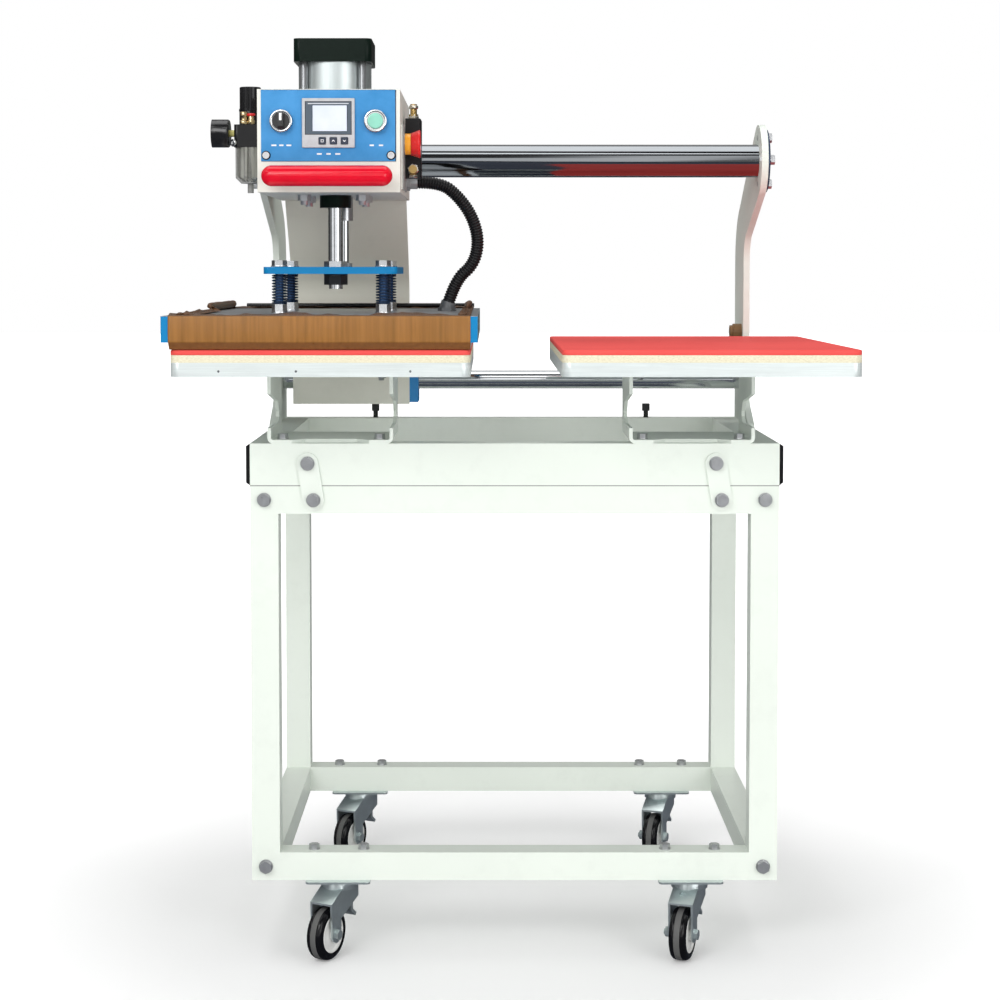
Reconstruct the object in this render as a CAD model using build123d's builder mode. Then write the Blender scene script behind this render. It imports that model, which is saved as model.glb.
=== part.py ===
from build123d import *
import math
import os

# Dual station pneumatic heat press on a wheeled stand.
# Millimetres, +Z up, +X right and -Y towards the operator. The origin is on the floor,
# under the middle of the machine. The head is over the left station, pressed down.

# Stand and base frame
stand_width = 750
stand_depth = 560
stand_height = 566
tube = 40
tube_wall = 2
base_rail_height = 60
end_cap_thick = 6
end_cap_chamfer = 4

# Casters
caster_height = 110
caster_inset = 123
caster_plate_width = 92
caster_plate_depth = 64
caster_plate_thick = 3
caster_plate_corner = 6
caster_trail = 36
caster_turn_left = -27
caster_turn_right = -20
wheel_diameter = 75
wheel_width = 25
tyre_wall = 11
tyre_shoulder = 4
hub_web = 16
hub_rim = 22
hub_boss_diameter = 16
swivel_diameter = 52
fork_thick = 3
fork_gap = 30
fork_nose = 24
fork_cheek = 12
fork_skirt = 14
fork_drop = 15
fork_front_drop = 20
fork_waist_drop = 41
race_height = 8
axle_diameter = 8
axle_flats = 13
axle_nut = 7
axle_tail = 2
kingpin_diameter = 10
kingpin_head_diameter = 18
kingpin_head = 3
lever_width = 26
lever_thick = 5
lever_pin = 6
lever_boss = 11
lever_pin_forward = 14
lever_pin_height = 84
lever_drop = 24
lever_toe_reach = 13
lever_toe_drop = 32
lever_tip_reach = 11
lever_tip_drop = 36
lever_back_drop = 26
lever_bend = 1

# Lower platens
station_inset = 114
platen_width = 400
platen_depth = 600
platen_thick = 19
platen_corner = 12
board_thick = 10
pad_thick = 7
press_forward = 158
bracket_height = 103
bracket_width = 178
bracket_depth = 156
bracket_sheet = 5
bracket_flange = 40
bracket_bend = 8
right_bracket_shift = -10
notch_depth = 120
notch_low = 22
notch_high = 70
notch_chamfer = 16
floor_cut_depth = 18
floor_cut_margin = 34

# Heated platen
cover_overhang = 10
cover_height = 35
cover_sheet = 2
cover_lip = 9
heater_thick = 24
slab_inset = 2
post_grip = 10
cover_corner = 1.5
cloth_thick = 0.8
cloth_margin = 9.5
cloth_hem = 34
cloth_side = 36
cloth_side_right = 18
cloth_rod_diameter = 7
cloth_rod_sink = 0.5
cloth_roll_diameter = 9
seal_gap = 0.3

# Spring plate, bolts and springs
spring_plate_width = 190
spring_plate_depth = 222
spring_plate_thick = 10
spring_plate_corner = 8
spring_plate_lift = 55.5
post_spread_x = 148
post_spread_y = 180
post_diameter = 12
post_flats = 19
post_head = 7.5
post_nut = 11
post_washer_diameter = 24
post_washer_thick = 1.5
spring_diameter = 22
spring_wire = 2.2
spring_turns = 11
coil_samples = 24
stroke = 55
float_travel = 6

# Cylinder and rods
bore_diameter = 100
barrel_wall = 3
barrel_length = 155
cylinder_square = 112
cylinder_corner = 9
cylinder_cap_height = 33
lower_cover_height = 25
nose_diameter = 46
nose_length = 18
tie_rod_spread = 84
tie_rod_diameter = 11
tie_nut_flats = 17
tie_nut_height = 9
tie_rod_tail = 6
tie_rod_grip = 15
rod_diameter = 22
rod_thread_diameter = 20
rod_nut_flats = 30
rod_top_nut = 8.5
rod_low_nut = 13
rod_washer_diameter = 35
rod_washer_thick = 3
rod_tail = 6
piston_thick = 30
piston_lift = 3
guide_rod_diameter = 12
guide_rod_x = 8.5
guide_rod_back = 74
guide_bush_diameter = 24
guide_bush_drop = 35
guide_bush_flange = 32
guide_bush_flange_thick = 4
guide_nut_flats = 19
guide_nut_height = 6

# Head case
head_width = 200
head_depth = 352
head_height = 144
head_forward = 132
head_above_bed = 215
head_sheet = 3
head_floor = 10
panel_width = 189
panel_height = 100
panel_thick = 1
panel_drop = 1
panel_screw_spread = 175
panel_screw_diameter = 9.6
panel_screw_shank = 5
panel_screw_head = 3
panel_screw_rise = 8.5

# Panel controls
control_spread = 132
control_rise = 99
bezel_diameter = 31
bezel_thick = 8
bezel_recess = 7
bezel_body_diameter = 22
bezel_body_length = 38
knob_diameter = 24
knob_thick = 6
knob_bar_width = 8
knob_bar_height = 8
knob_bar_length = 22
stem_diameter = 10
stem_length = 16
button_diameter = 22
button_proud = 3
button_travel = 4
controller_width = 74
controller_height = 69
controller_rise = 96.5
controller_bezel = 4
controller_body_width = 66
controller_body_height = 62
controller_body_depth = 60
screen_width = 48.5
screen_height = 36.4
screen_rise = 6.5
screen_shift = 2
screen_sink = 1.2
key_size = 9.5
key_pitch = 15.5
key_shift = 7
key_drop = 25
key_depth = 3
key_proud = 1
key_travel = 0.6

# Handle
handle_diameter = 29
handle_length = 182
handle_forward = 35
handle_rise = 21.5
handle_post_diameter = 14
handle_post_spread = 150

# Emergency stop, valve and connector on the right of the head
stop_back = 65
stop_rise = 71
stop_collar_diameter = 30
stop_collar_thick = 10
stop_head_diameter = 40
stop_head_thick = 14
stop_travel = 5
stop_stem_diameter = 12
stop_body_diameter = 22
stop_body_length = 40
side_strip_thick = 3
side_strip_margin = 6
side_strip_height = 92
side_strip_rise = 6
valve_width = 44
valve_thick = 23
valve_height = 86
valve_rise = 25
valve_chamfer = 1.5
valve_screw_inset = 6
valve_screw_diameter = 5
valve_screw_sink = 2
silencer_diameter = 12
silencer_length = 22
silencer_nut = 7.4
silencer_body_diameter = 10
elbow_diameter = 12
elbow_length = 12
elbow_drop_diameter = 10
hose_back = 66
hose_rise = 22
hose_diameter = 19
hose_bore = 14
hose_rib_pitch = 3.4
hose_rib_depth = 1.2
connector_flats = 22
connector_length = 18
connector_nut = 7
connector_diameter = 20
gland_flats = 24
gland_base = 5
gland_diameter = 22
gland_height = 9
gland_shift = 161.5
gland_lean = 18
hose_end_run = 34.5
hose_bends = ((61, 21), (82, 51), (91.5, 87), (84, 122))  # outwards and down from its upper end

# Filter regulator on the left of the head
regulator_gap = 3
regulator_width = 44
regulator_depth = 42
regulator_back = 8
regulator_rise = 70
regulator_height = 33
regulator_neck_diameter = 32
regulator_neck_height = 20
regulator_corner = 5
knob_post_diameter = 12
knob_post_height = 20
bonnet_ring_height = 3
dial_knob_diameter = 31
dial_knob_height = 32
dial_ring_diameter = 33
dial_grooves = 24
dial_groove_depth = 0.8
bowl_diameter = 44
bowl_height = 52
bowl_wall = 2.5
bowl_dome = 8
drain_diameter = 9
drain_height = 14
gauge_diameter = 41
gauge_thick = 26
gauge_stem_diameter = 10
gauge_stem_length = 8
gauge_rise = 21
gauge_round = 3
gauge_rim = 2.5
gauge_sink = 1.5
gauge_needle_turn = 60
gauge_needle_length = 19
gauge_needle_tail = 4
gauge_needle_width = 1.2
gauge_needle_thick = 0.6
gauge_hub_diameter = 5
port_diameter = 11.8
port_depth = 12
nipple_diameter = 13

# Beam, guide shaft and side plates
beam_diameter = 50
beam_forward = 11
beam_rise = 58
beam_flange_diameter = 96
beam_flange_thick = 4
beam_bolt_circle = 70
guide_shaft_diameter = 30
guide_shaft_back = 222
guide_shaft_rise = 65
side_plate_thick = 10
side_plate_head = 55
side_column_front = 158
side_column_rear = 275
side_knee_front_rise = 291
side_knee_rear_rise = 314
side_knee_radius = 45
side_flare_rise = 36
side_foot_front = 84
side_foot_drop = 54
side_foot_radius = 6
bearing_diameter = 76
bearing_length = 42
bearing_flange = 88
bearing_flange_thick = 7
bearing_hole_margin = 1
back_plate_width = 190
back_plate_thick = 8
back_plate_front = 182
back_plate_knee_rise = 222
back_plate_low_rise = 27
back_plate_bend = 40
guide_block_height = 70
guide_block_depth = 60
guide_tab_thick = 14
buffer_diameter = 26
buffer_rise = 145
buffer_lip = 5

# Fits
run_gap = 0.05
body_gap = 0.3
hole_gap = 0.5

# Fasteners on the frame
bolt_diameter = 10
bolt_flats = 16
bolt_head = 7
bolt_washer_diameter = 20
bolt_washer_thick = 1.6
bolt_grip = 12
small_bolt_diameter = 8
small_bolt_flats = 13
small_bolt_head = 6
caster_bolt_pitch = 71
platen_bolt_tail = 12
level_screw_diameter = 8
level_screw_head = 12
level_screw_rise = 17
level_screw_inset = 149.5
foot_bolt_inset = 24
bracket_bolt_front = 70
bracket_bolt_rear = 22
link_inset = 86
link_width = 30
link_thick = 4
link_bolt_pitch = 52
link_lean = 8
link_upper_drop = 28

RIGHT = (1, 0, 0)
LEFT = (-1, 0, 0)
BACK = (0, 1, 0)
FRONT = (0, -1, 0)
UP = (0, 0, 1)
DOWN = (0, 0, -1)

# The middle of the frame, placed so that the whole machine is centred over the origin
station_pitch = stand_width - 2 * station_inset
cover_width = platen_width + 2 * cover_overhang
cover_depth = platen_depth + 2 * cover_overhang
cloth_width = cover_width - 2 * cloth_margin
front_reach = press_forward + cover_depth / 2 + cloth_thick
rear_reach = stand_depth / 2 - tube / 2 + caster_plate_depth / 2
frame_x = cover_overhang / 2
frame_y = (front_reach - rear_reach) / 2
front_face_y = frame_y - stand_depth / 2
press_y = frame_y - press_forward
left_x = frame_x - station_pitch / 2
right_x = frame_x + station_pitch / 2

# Heights
z_stand = caster_height
z_base = z_stand + stand_height
z_deck = z_base + base_rail_height
z_platen = z_deck + bracket_height
z_board = z_platen + platen_thick
z_pad = z_board + board_thick
z_bed = z_pad + pad_thick
z_cloth = z_bed + seal_gap
z_heater = z_cloth + cloth_thick
z_cover = z_heater + cover_lip
z_cover_top = z_cover + cover_height
z_spring_plate = z_cover_top + spring_plate_lift
z_spring_top = z_spring_plate + spring_plate_thick
z_head = z_bed + head_above_bed
z_head_floor = z_head + head_floor
z_head_top = z_head + head_height
z_barrel = z_head_floor + lower_cover_height
z_barrel_top = z_barrel + barrel_length
z_cap_top = z_barrel_top + cylinder_cap_height
z_beam = z_head + beam_rise
z_guide = z_deck + guide_shaft_rise
z_handle = z_head + handle_rise
z_panel = z_head_top - panel_drop - panel_height
z_controls = z_head + control_rise
z_controller = z_head + controller_rise
z_stop = z_head + stop_rise
z_regulator = z_head + regulator_rise
z_hose = z_head + hose_rise

# Depths
head_front_y = press_y - head_forward
head_back_y = head_front_y + head_depth
panel_front_y = head_front_y - panel_thick
beam_y = frame_y - beam_forward
guide_y = frame_y + guide_shaft_back
back_plate_y = frame_y + back_plate_front
guide_rod_y = press_y + guide_rod_back
stop_y = head_front_y + stop_back
hose_y = press_y + hose_back
regulator_y = press_y + regulator_back

# Sideways places
side_inner = stand_width / 2
side_outer = side_inner + side_plate_thick
head_right_x = left_x + head_width / 2
head_left_x = left_x - head_width / 2
knob_x = left_x - control_spread / 2
button_x = left_x + control_spread / 2
panel_screws = (left_x - panel_screw_spread / 2, left_x + panel_screw_spread / 2)
key_spots = {
    "key_left": left_x + key_shift - key_pitch,
    "key_middle": left_x + key_shift,
    "key_right": left_x + key_shift + key_pitch,
}

station_spots = [(left_x, press_y), (right_x, press_y)]
post_spots = [
    (left_x + side * post_spread_x / 2, press_y + end * post_spread_y / 2)
    for side in (-1, 1)
    for end in (-1, 1)
]
tie_spots = [
    (left_x + side * tie_rod_spread / 2, press_y + end * tie_rod_spread / 2)
    for side in (-1, 1)
    for end in (-1, 1)
]
leg_spots = [
    (frame_x + side * (stand_width - tube) / 2, frame_y + end * (stand_depth - tube) / 2)
    for side in (-1, 1)
    for end in (-1, 1)
]


def step(at, along, distance):
    """The point a distance from another one, along a direction."""
    return tuple(a + distance * d for a, d in zip(at, along))


def rod(at, along, diameter, length, mode=Mode.ADD):
    """A round bar, or a round hole with Mode.SUBTRACT."""
    with BuildSketch(Plane(origin=at, z_dir=along)) as outline:
        Circle(diameter / 2)
    extrude(outline.sketch, amount=length, mode=mode)


def hexagon(at, along, flats, length, mode=Mode.ADD):
    """A hexagonal bar, such as a nut or a bolt's head."""
    with BuildSketch(Plane(origin=at, z_dir=along)) as outline:
        RegularPolygon(flats / 2, 6, major_radius=False)
    extrude(outline.sketch, amount=length, mode=mode)


def block(low, high, mode=Mode.ADD):
    """A box between its lowest and highest corners."""
    with BuildSketch(Plane.XY.offset(low[2])) as outline:
        with Locations(((low[0] + high[0]) / 2, (low[1] + high[1]) / 2)):
            Rectangle(high[0] - low[0], high[1] - low[1])
    extrude(outline.sketch, amount=high[2] - low[2], mode=mode)


def square_tube(at, along, width, height, length):
    """A rectangular tube that starts at the middle of its end face."""
    sideways = BACK if along == RIGHT else RIGHT
    with BuildSketch(Plane(origin=at, x_dir=sideways, z_dir=along)) as outline:
        Rectangle(width, height)
        Rectangle(width - 2 * tube_wall, height - 2 * tube_wall, mode=Mode.SUBTRACT)
    extrude(outline.sketch, amount=length)


def bolt(at, out, diameter, flats, head, washer_diameter, grip):
    """A hexagon bolt on a surface, with its washer, its head outside and its shank inside."""
    rod(at, out, washer_diameter, bolt_washer_thick)
    hexagon(step(at, out, bolt_washer_thick), out, flats, head)
    rod(step(at, out, -grip), out, diameter, grip)


def frame_bolt(at, out):
    """One of the larger bolts of the frame."""
    bolt(at, out, bolt_diameter, bolt_flats, bolt_head, bolt_washer_diameter, bolt_grip)


def bolt_hole(at, out, diameter=bolt_diameter):
    """The clearance hole for a bolt that is set on a surface."""
    start = step(at, out, -bolt_grip - hole_gap)
    rod(start, out, diameter + 2 * hole_gap, bolt_grip + 2 * hole_gap, mode=Mode.SUBTRACT)


def finish(builder, name):
    """Names a finished sub-part and writes its file."""
    builder.part.label = name
    export_step(builder.part, f"parts/{name}.step")


os.makedirs("parts", exist_ok=True)

# Bolt places that two or more pieces share
corner_bolts = [
    ((x, frame_y + end * stand_depth / 2, z), BACK if end > 0 else FRONT)
    for x in (leg_spots[0][0], leg_spots[2][0])
    for end in (-1, 1)
    for z in (z_stand + tube / 2, z_base - tube / 2)
]
link_bolts = []
for side in (-1, 1):
    upper_x = frame_x + side * (stand_width / 2 - link_inset) - link_lean / 2
    link_bolts.append((upper_x, z_deck - link_upper_drop))
    link_bolts.append((upper_x + link_lean, z_deck - link_upper_drop - link_bolt_pitch))
caster_reach = stand_width / 2 - caster_inset
caster_spots = {
    "front_left": (frame_x - caster_reach, leg_spots[0][1], caster_turn_left),
    "front_right": (frame_x + caster_reach, leg_spots[0][1], caster_turn_right),
    "rear_left": (frame_x - caster_reach, leg_spots[1][1], caster_turn_left),
    "rear_right": (frame_x + caster_reach, leg_spots[1][1], caster_turn_right),
}
caster_bolts = [
    (x + side * caster_bolt_pitch / 2, y)
    for x, y, turn in caster_spots.values()
    for side in (-1, 1)
]
foot_bolts = [
    (frame_y + y, z_deck - side_foot_drop / 2)
    for y in (side_foot_front + foot_bolt_inset, side_column_front, side_column_rear - foot_bolt_inset)
]
flange_bolts = [
    (
        beam_y + beam_bolt_circle / 2 * math.cos(math.radians(angle)),
        z_beam + beam_bolt_circle / 2 * math.sin(math.radians(angle)),
    )
    for angle in (0, 90, 180, 270)
]
bracket_middles = (left_x, right_x + right_bracket_shift)
platen_bolts = [
    (middle_x + side * (bracket_width / 2 - bracket_flange / 2), front_face_y + back)
    for middle_x in bracket_middles
    for side in (-1, 1)
    for back in (bracket_bolt_front, bracket_depth - bracket_bolt_rear)
]
deck_bolts = [
    (middle_x + side * (bracket_width / 2 - bracket_flange / 2), leg_spots[0][1])
    for middle_x in bracket_middles
    for side in (-1, 1)
]
level_screws = [frame_x + side * (stand_width / 2 - level_screw_inset) for side in (-1, 1)]


def small_bolt(at, out, grip):
    """One of the smaller bolts, with a washer."""
    washer = small_bolt_flats + bolt_washer_thick * 2
    bolt(at, out, small_bolt_diameter, small_bolt_flats, small_bolt_head, washer, grip)


def turned(at, along, points, mode=Mode.ADD):
    """A turned shape from an outline of (radius, distance along the axis) points."""
    radial = RIGHT if along == UP else UP
    normal = Vector(*radial).cross(Vector(*along))
    with BuildSketch(Plane(origin=at, x_dir=radial, z_dir=normal)) as outline:
        with BuildLine():
            Polyline(*points, close=True)
        make_face()
    revolve(outline.sketch, axis=Axis(at, along), mode=mode)


def tangent_point(centre, radius, outside, side):
    """Where the line from an outside point touches a circle, on one side or the other."""
    across = outside[0] - centre[0]
    up = outside[1] - centre[1]
    turn = math.atan2(up, across) + side * math.acos(radius / math.hypot(across, up))
    return (centre[0] + radius * math.cos(turn), centre[1] + radius * math.sin(turn))


# Stand: four legs and eight rails of square tube
with BuildPart() as stand_legs:
    for x, y in leg_spots:
        square_tube((x, y, z_stand), UP, tube, tube, stand_height)
    for at, out in corner_bolts:
        bolt_hole(at, out)
finish(stand_legs, "stand_legs")

with BuildPart() as stand_rails:
    for z in (z_stand + tube / 2, z_base - tube / 2):
        for y in (leg_spots[0][1], leg_spots[1][1]):
            start = (leg_spots[0][0] + tube / 2, y, z)
            square_tube(start, RIGHT, tube, tube, stand_width - 2 * tube)
        for x in (leg_spots[0][0], leg_spots[2][0]):
            start = (x, leg_spots[0][1] + tube / 2, z)
            square_tube(start, BACK, tube, tube, stand_depth - 2 * tube)
    for x, y in caster_bolts:
        rod((x, y, z_stand), UP, small_bolt_diameter + 2 * hole_gap, tube, mode=Mode.SUBTRACT)
    for x, z in link_bolts[1::2]:
        bolt_hole((x, front_face_y, z), FRONT)
finish(stand_rails, "stand_rails")

# Base frame: a front rail across the full width, two side rails and a rear rail between them
rail_z = z_base + base_rail_height / 2
with BuildPart() as base_rails:
    front_start = (frame_x - stand_width / 2, leg_spots[0][1], rail_z)
    square_tube(front_start, RIGHT, tube, base_rail_height, stand_width)
    rear_start = (leg_spots[0][0] + tube / 2, leg_spots[1][1], rail_z)
    square_tube(rear_start, RIGHT, tube, base_rail_height, stand_width - 2 * tube)
    for x in (leg_spots[0][0], leg_spots[2][0]):
        side_start = (x, leg_spots[0][1] + tube / 2, rail_z)
        square_tube(side_start, BACK, tube, base_rail_height, stand_depth - tube)
    for x, z in link_bolts[0::2]:
        bolt_hole((x, front_face_y, z), FRONT)
    for side in (-1, 1):
        for y, z in foot_bolts:
            bolt_hole((frame_x + side * side_inner, y, z), (side, 0, 0))
    for x, y in deck_bolts:
        bolt_hole((x, y, z_deck), UP, small_bolt_diameter)
    for x in level_screws:
        bolt_hole((x, leg_spots[1][1], z_deck), UP, level_screw_diameter)
finish(base_rails, "base_rails")

with BuildPart() as rail_end_caps:
    cap_taper = math.degrees(math.atan(end_cap_chamfer / end_cap_thick))
    cap_places = [
        ((frame_x - stand_width / 2, leg_spots[0][1], rail_z), LEFT, BACK),
        ((frame_x + stand_width / 2, leg_spots[0][1], rail_z), RIGHT, BACK),
        ((leg_spots[0][0], frame_y + stand_depth / 2, rail_z), BACK, RIGHT),
        ((leg_spots[2][0], frame_y + stand_depth / 2, rail_z), BACK, RIGHT),
    ]
    for at, out, sideways in cap_places:
        with BuildSketch(Plane(origin=at, x_dir=sideways, z_dir=out)):
            Rectangle(tube, base_rail_height)
        extrude(amount=end_cap_thick, taper=cap_taper)
finish(rail_end_caps, "rail_end_caps")

with BuildPart() as link_plates:
    for (high_x, high_z), (low_x, low_z) in zip(link_bolts[0::2], link_bolts[1::2]):
        middle = ((high_x + low_x) / 2, front_face_y, (high_z + low_z) / 2)
        lean = math.degrees(math.atan2(high_z - low_z, high_x - low_x))
        with BuildSketch(Plane(origin=middle, x_dir=RIGHT, z_dir=FRONT)):
            SlotCenterToCenter(math.hypot(high_x - low_x, high_z - low_z), link_width, rotation=lean)
        extrude(amount=link_thick)
        for x, z in ((high_x, high_z), (low_x, low_z)):
            hole_start = (x, front_face_y - link_thick, z)
            rod(hole_start, BACK, bolt_diameter + 2 * hole_gap, link_thick, mode=Mode.SUBTRACT)
finish(link_plates, "link_plates")

# Platen brackets: folded sheet, each with a C-shaped cut in both of its upright sides
with BuildPart() as platen_brackets:
    for middle_x in bracket_middles:
        front = Plane(origin=(middle_x, front_face_y, z_deck), x_dir=RIGHT, z_dir=BACK)
        with BuildSketch(front):
            with Locations((0, -bracket_height / 2)):
                RectangleRounded(bracket_width, bracket_height, bracket_bend)
                RectangleRounded(
                    bracket_width - 2 * bracket_sheet,
                    bracket_height - 2 * bracket_sheet,
                    bracket_bend - bracket_sheet,
                    mode=Mode.SUBTRACT,
                )
            with Locations((0, -bracket_height + bracket_sheet / 2)):
                Rectangle(bracket_width - 2 * bracket_flange, bracket_sheet, mode=Mode.SUBTRACT)
        extrude(amount=bracket_depth)
        with BuildSketch(Plane.YZ.offset(middle_x - bracket_width / 2)):
            with BuildLine():
                Polyline(
                    (front_face_y, z_deck + notch_low),
                    (front_face_y + notch_depth - notch_chamfer, z_deck + notch_low),
                    (front_face_y + notch_depth, z_deck + notch_low + notch_chamfer / 2),
                    (front_face_y + notch_depth, z_deck + notch_high - 2 * notch_chamfer),
                    (front_face_y + notch_depth - notch_chamfer, z_deck + notch_high - notch_chamfer),
                    (front_face_y, z_deck + notch_high),
                    close=True,
                )
            make_face()
        extrude(amount=bracket_width, mode=Mode.SUBTRACT)
        with BuildSketch(Plane.XY.offset(z_deck)):
            with Locations((middle_x, front_face_y)):
                Trapezoid(
                    bracket_width - 2 * floor_cut_margin + 2 * floor_cut_depth,
                    2 * floor_cut_depth,
                    45,
                    align=(Align.CENTER, Align.CENTER),
                )
        extrude(amount=bracket_sheet, mode=Mode.SUBTRACT)
    for x, y in platen_bolts:
        hole_start = (x, y, z_platen - bracket_sheet)
        rod(hole_start, UP, small_bolt_diameter + 2 * hole_gap, bracket_sheet, mode=Mode.SUBTRACT)
    for x, y in deck_bolts:
        rod((x, y, z_deck), UP, small_bolt_diameter + 2 * hole_gap, bracket_sheet, mode=Mode.SUBTRACT)
finish(platen_brackets, "platen_brackets")

# Lower platens: aluminium plate, insulating board and silicone pad at both stations
with BuildPart() as lower_platens:
    with BuildSketch(Plane.XY.offset(z_platen)):
        with Locations(*station_spots):
            RectangleRounded(platen_width, platen_depth, platen_corner)
    extrude(amount=platen_thick)
    for x, y in platen_bolts:
        rod((x, y, z_platen), UP, small_bolt_diameter + 2 * hole_gap, bolt_grip, mode=Mode.SUBTRACT)
finish(lower_platens, "lower_platens")

with BuildPart() as platen_boards:
    with BuildSketch(Plane.XY.offset(z_board)):
        with Locations(*station_spots):
            RectangleRounded(platen_width, platen_depth, platen_corner)
    extrude(amount=board_thick)
finish(platen_boards, "platen_boards")

with BuildPart() as silicone_pads:
    with BuildSketch(Plane.XY.offset(z_pad)):
        with Locations(*station_spots):
            RectangleRounded(platen_width, platen_depth, platen_corner)
    extrude(amount=pad_thick)
finish(silicone_pads, "silicone_pads")

# Side plates: a round head for the beam, a slanted neck, a column and a foot with a flare
head_centre = (beam_y, z_beam)
front_knee = (frame_y + side_column_front, z_deck + side_knee_front_rise)
rear_knee = (frame_y + side_column_rear, z_deck + side_knee_rear_rise)
front_tangent = tangent_point(head_centre, side_plate_head, front_knee, -1)
rear_tangent = tangent_point(head_centre, side_plate_head, rear_knee, 1)
with BuildPart() as side_plates:
    for x in (frame_x - side_outer, frame_x + side_inner):
        with BuildSketch(Plane.YZ.offset(x)):
            with BuildLine():
                FilletPolyline(
                    front_tangent,
                    front_knee,
                    (frame_y + side_column_front, z_deck + side_flare_rise),
                    (frame_y + side_foot_front, z_deck),
                    (frame_y + side_foot_front, z_deck - side_foot_drop),
                    (frame_y + side_column_rear, z_deck - side_foot_drop),
                    rear_knee,
                    rear_tangent,
                    radius=[
                        side_knee_radius,
                        side_knee_radius,
                        side_foot_radius,
                        side_foot_radius,
                        side_foot_radius,
                        2 * side_knee_radius,
                    ],
                )
                Line(rear_tangent, head_centre)
                Line(head_centre, front_tangent)
            make_face()
            with Locations(head_centre):
                Circle(side_plate_head)
                Circle(beam_diameter / 2 + run_gap, mode=Mode.SUBTRACT)
            with Locations((guide_y, z_guide)):
                Circle(guide_shaft_diameter / 2 + run_gap, mode=Mode.SUBTRACT)
            with Locations(*foot_bolts):
                Circle(bolt_diameter / 2 + hole_gap, mode=Mode.SUBTRACT)
            with Locations(*flange_bolts):
                Circle(small_bolt_diameter / 2 + hole_gap, mode=Mode.SUBTRACT)
        extrude(amount=side_plate_thick)
finish(side_plates, "side_plates")

# Beam with its end flanges, and the lower guide shaft
with BuildPart() as beam_shaft:
    rod((frame_x - side_outer, beam_y, z_beam), RIGHT, beam_diameter, 2 * side_outer)
    for side in (-1, 1):
        face = (frame_x + side * side_outer, beam_y, z_beam)
        rod(face, (side, 0, 0), beam_flange_diameter, beam_flange_thick)
        for y, z in flange_bolts:
            rod(
                (face[0], y, z),
                (side, 0, 0),
                small_bolt_diameter + 2 * hole_gap,
                beam_flange_thick,
                mode=Mode.SUBTRACT,
            )
finish(beam_shaft, "beam_shaft")

with BuildPart() as guide_shaft:
    rod((frame_x - side_outer, guide_y, z_guide), RIGHT, guide_shaft_diameter, 2 * side_outer)
finish(guide_shaft, "guide_shaft")

with BuildPart() as travel_buffers:
    buffer_length = side_inner - station_pitch / 2 - back_plate_width / 2 - body_gap
    for side in (-1, 1):
        wall = (frame_x + side * side_inner, back_plate_y + back_plate_thick / 2, z_deck + buffer_rise)
        rod(wall, (-side, 0, 0), buffer_diameter - buffer_lip, buffer_length)
        rod(wall, (-side, 0, 0), buffer_diameter, buffer_length - buffer_lip)
finish(travel_buffers, "travel_buffers")

# Bolts of the stand, the base, the brackets and the side plates
with BuildPart() as frame_bolts:
    for at, out in corner_bolts:
        frame_bolt(at, out)
    for x, z in link_bolts:
        frame_bolt((x, front_face_y - link_thick, z), FRONT)
    for side in (-1, 1):
        for y, z in foot_bolts:
            frame_bolt((frame_x + side * side_outer, y, z), (side, 0, 0))
        for y, z in flange_bolts:
            flange_face = (frame_x + side * (side_outer + beam_flange_thick), y, z)
            small_bolt(flange_face, (side, 0, 0), beam_flange_thick + side_plate_thick)
    for x, y in platen_bolts:
        seat = (x, y, z_platen - bracket_sheet)
        small_bolt(seat, DOWN, bolt_grip)
        rod(seat, DOWN, small_bolt_diameter, platen_bolt_tail)
    for x, y in deck_bolts:
        small_bolt((x, y, z_deck + bracket_sheet), UP, bolt_grip)
    for x, y in caster_bolts:
        small_bolt((x, y, z_stand + tube), UP, tube + caster_plate_thick)
    for x in level_screws:
        rod((x, leg_spots[1][1], z_deck - bolt_grip), UP, level_screw_diameter, bolt_grip + level_screw_rise)
        head_low = z_deck + level_screw_rise - level_screw_head / 2
        half = level_screw_head / 2
        block(
            (x - half, leg_spots[1][1] - half, head_low),
            (x + half, leg_spots[1][1] + half, head_low + level_screw_head),
        )
finish(frame_bolts, "frame_bolts")

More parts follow.
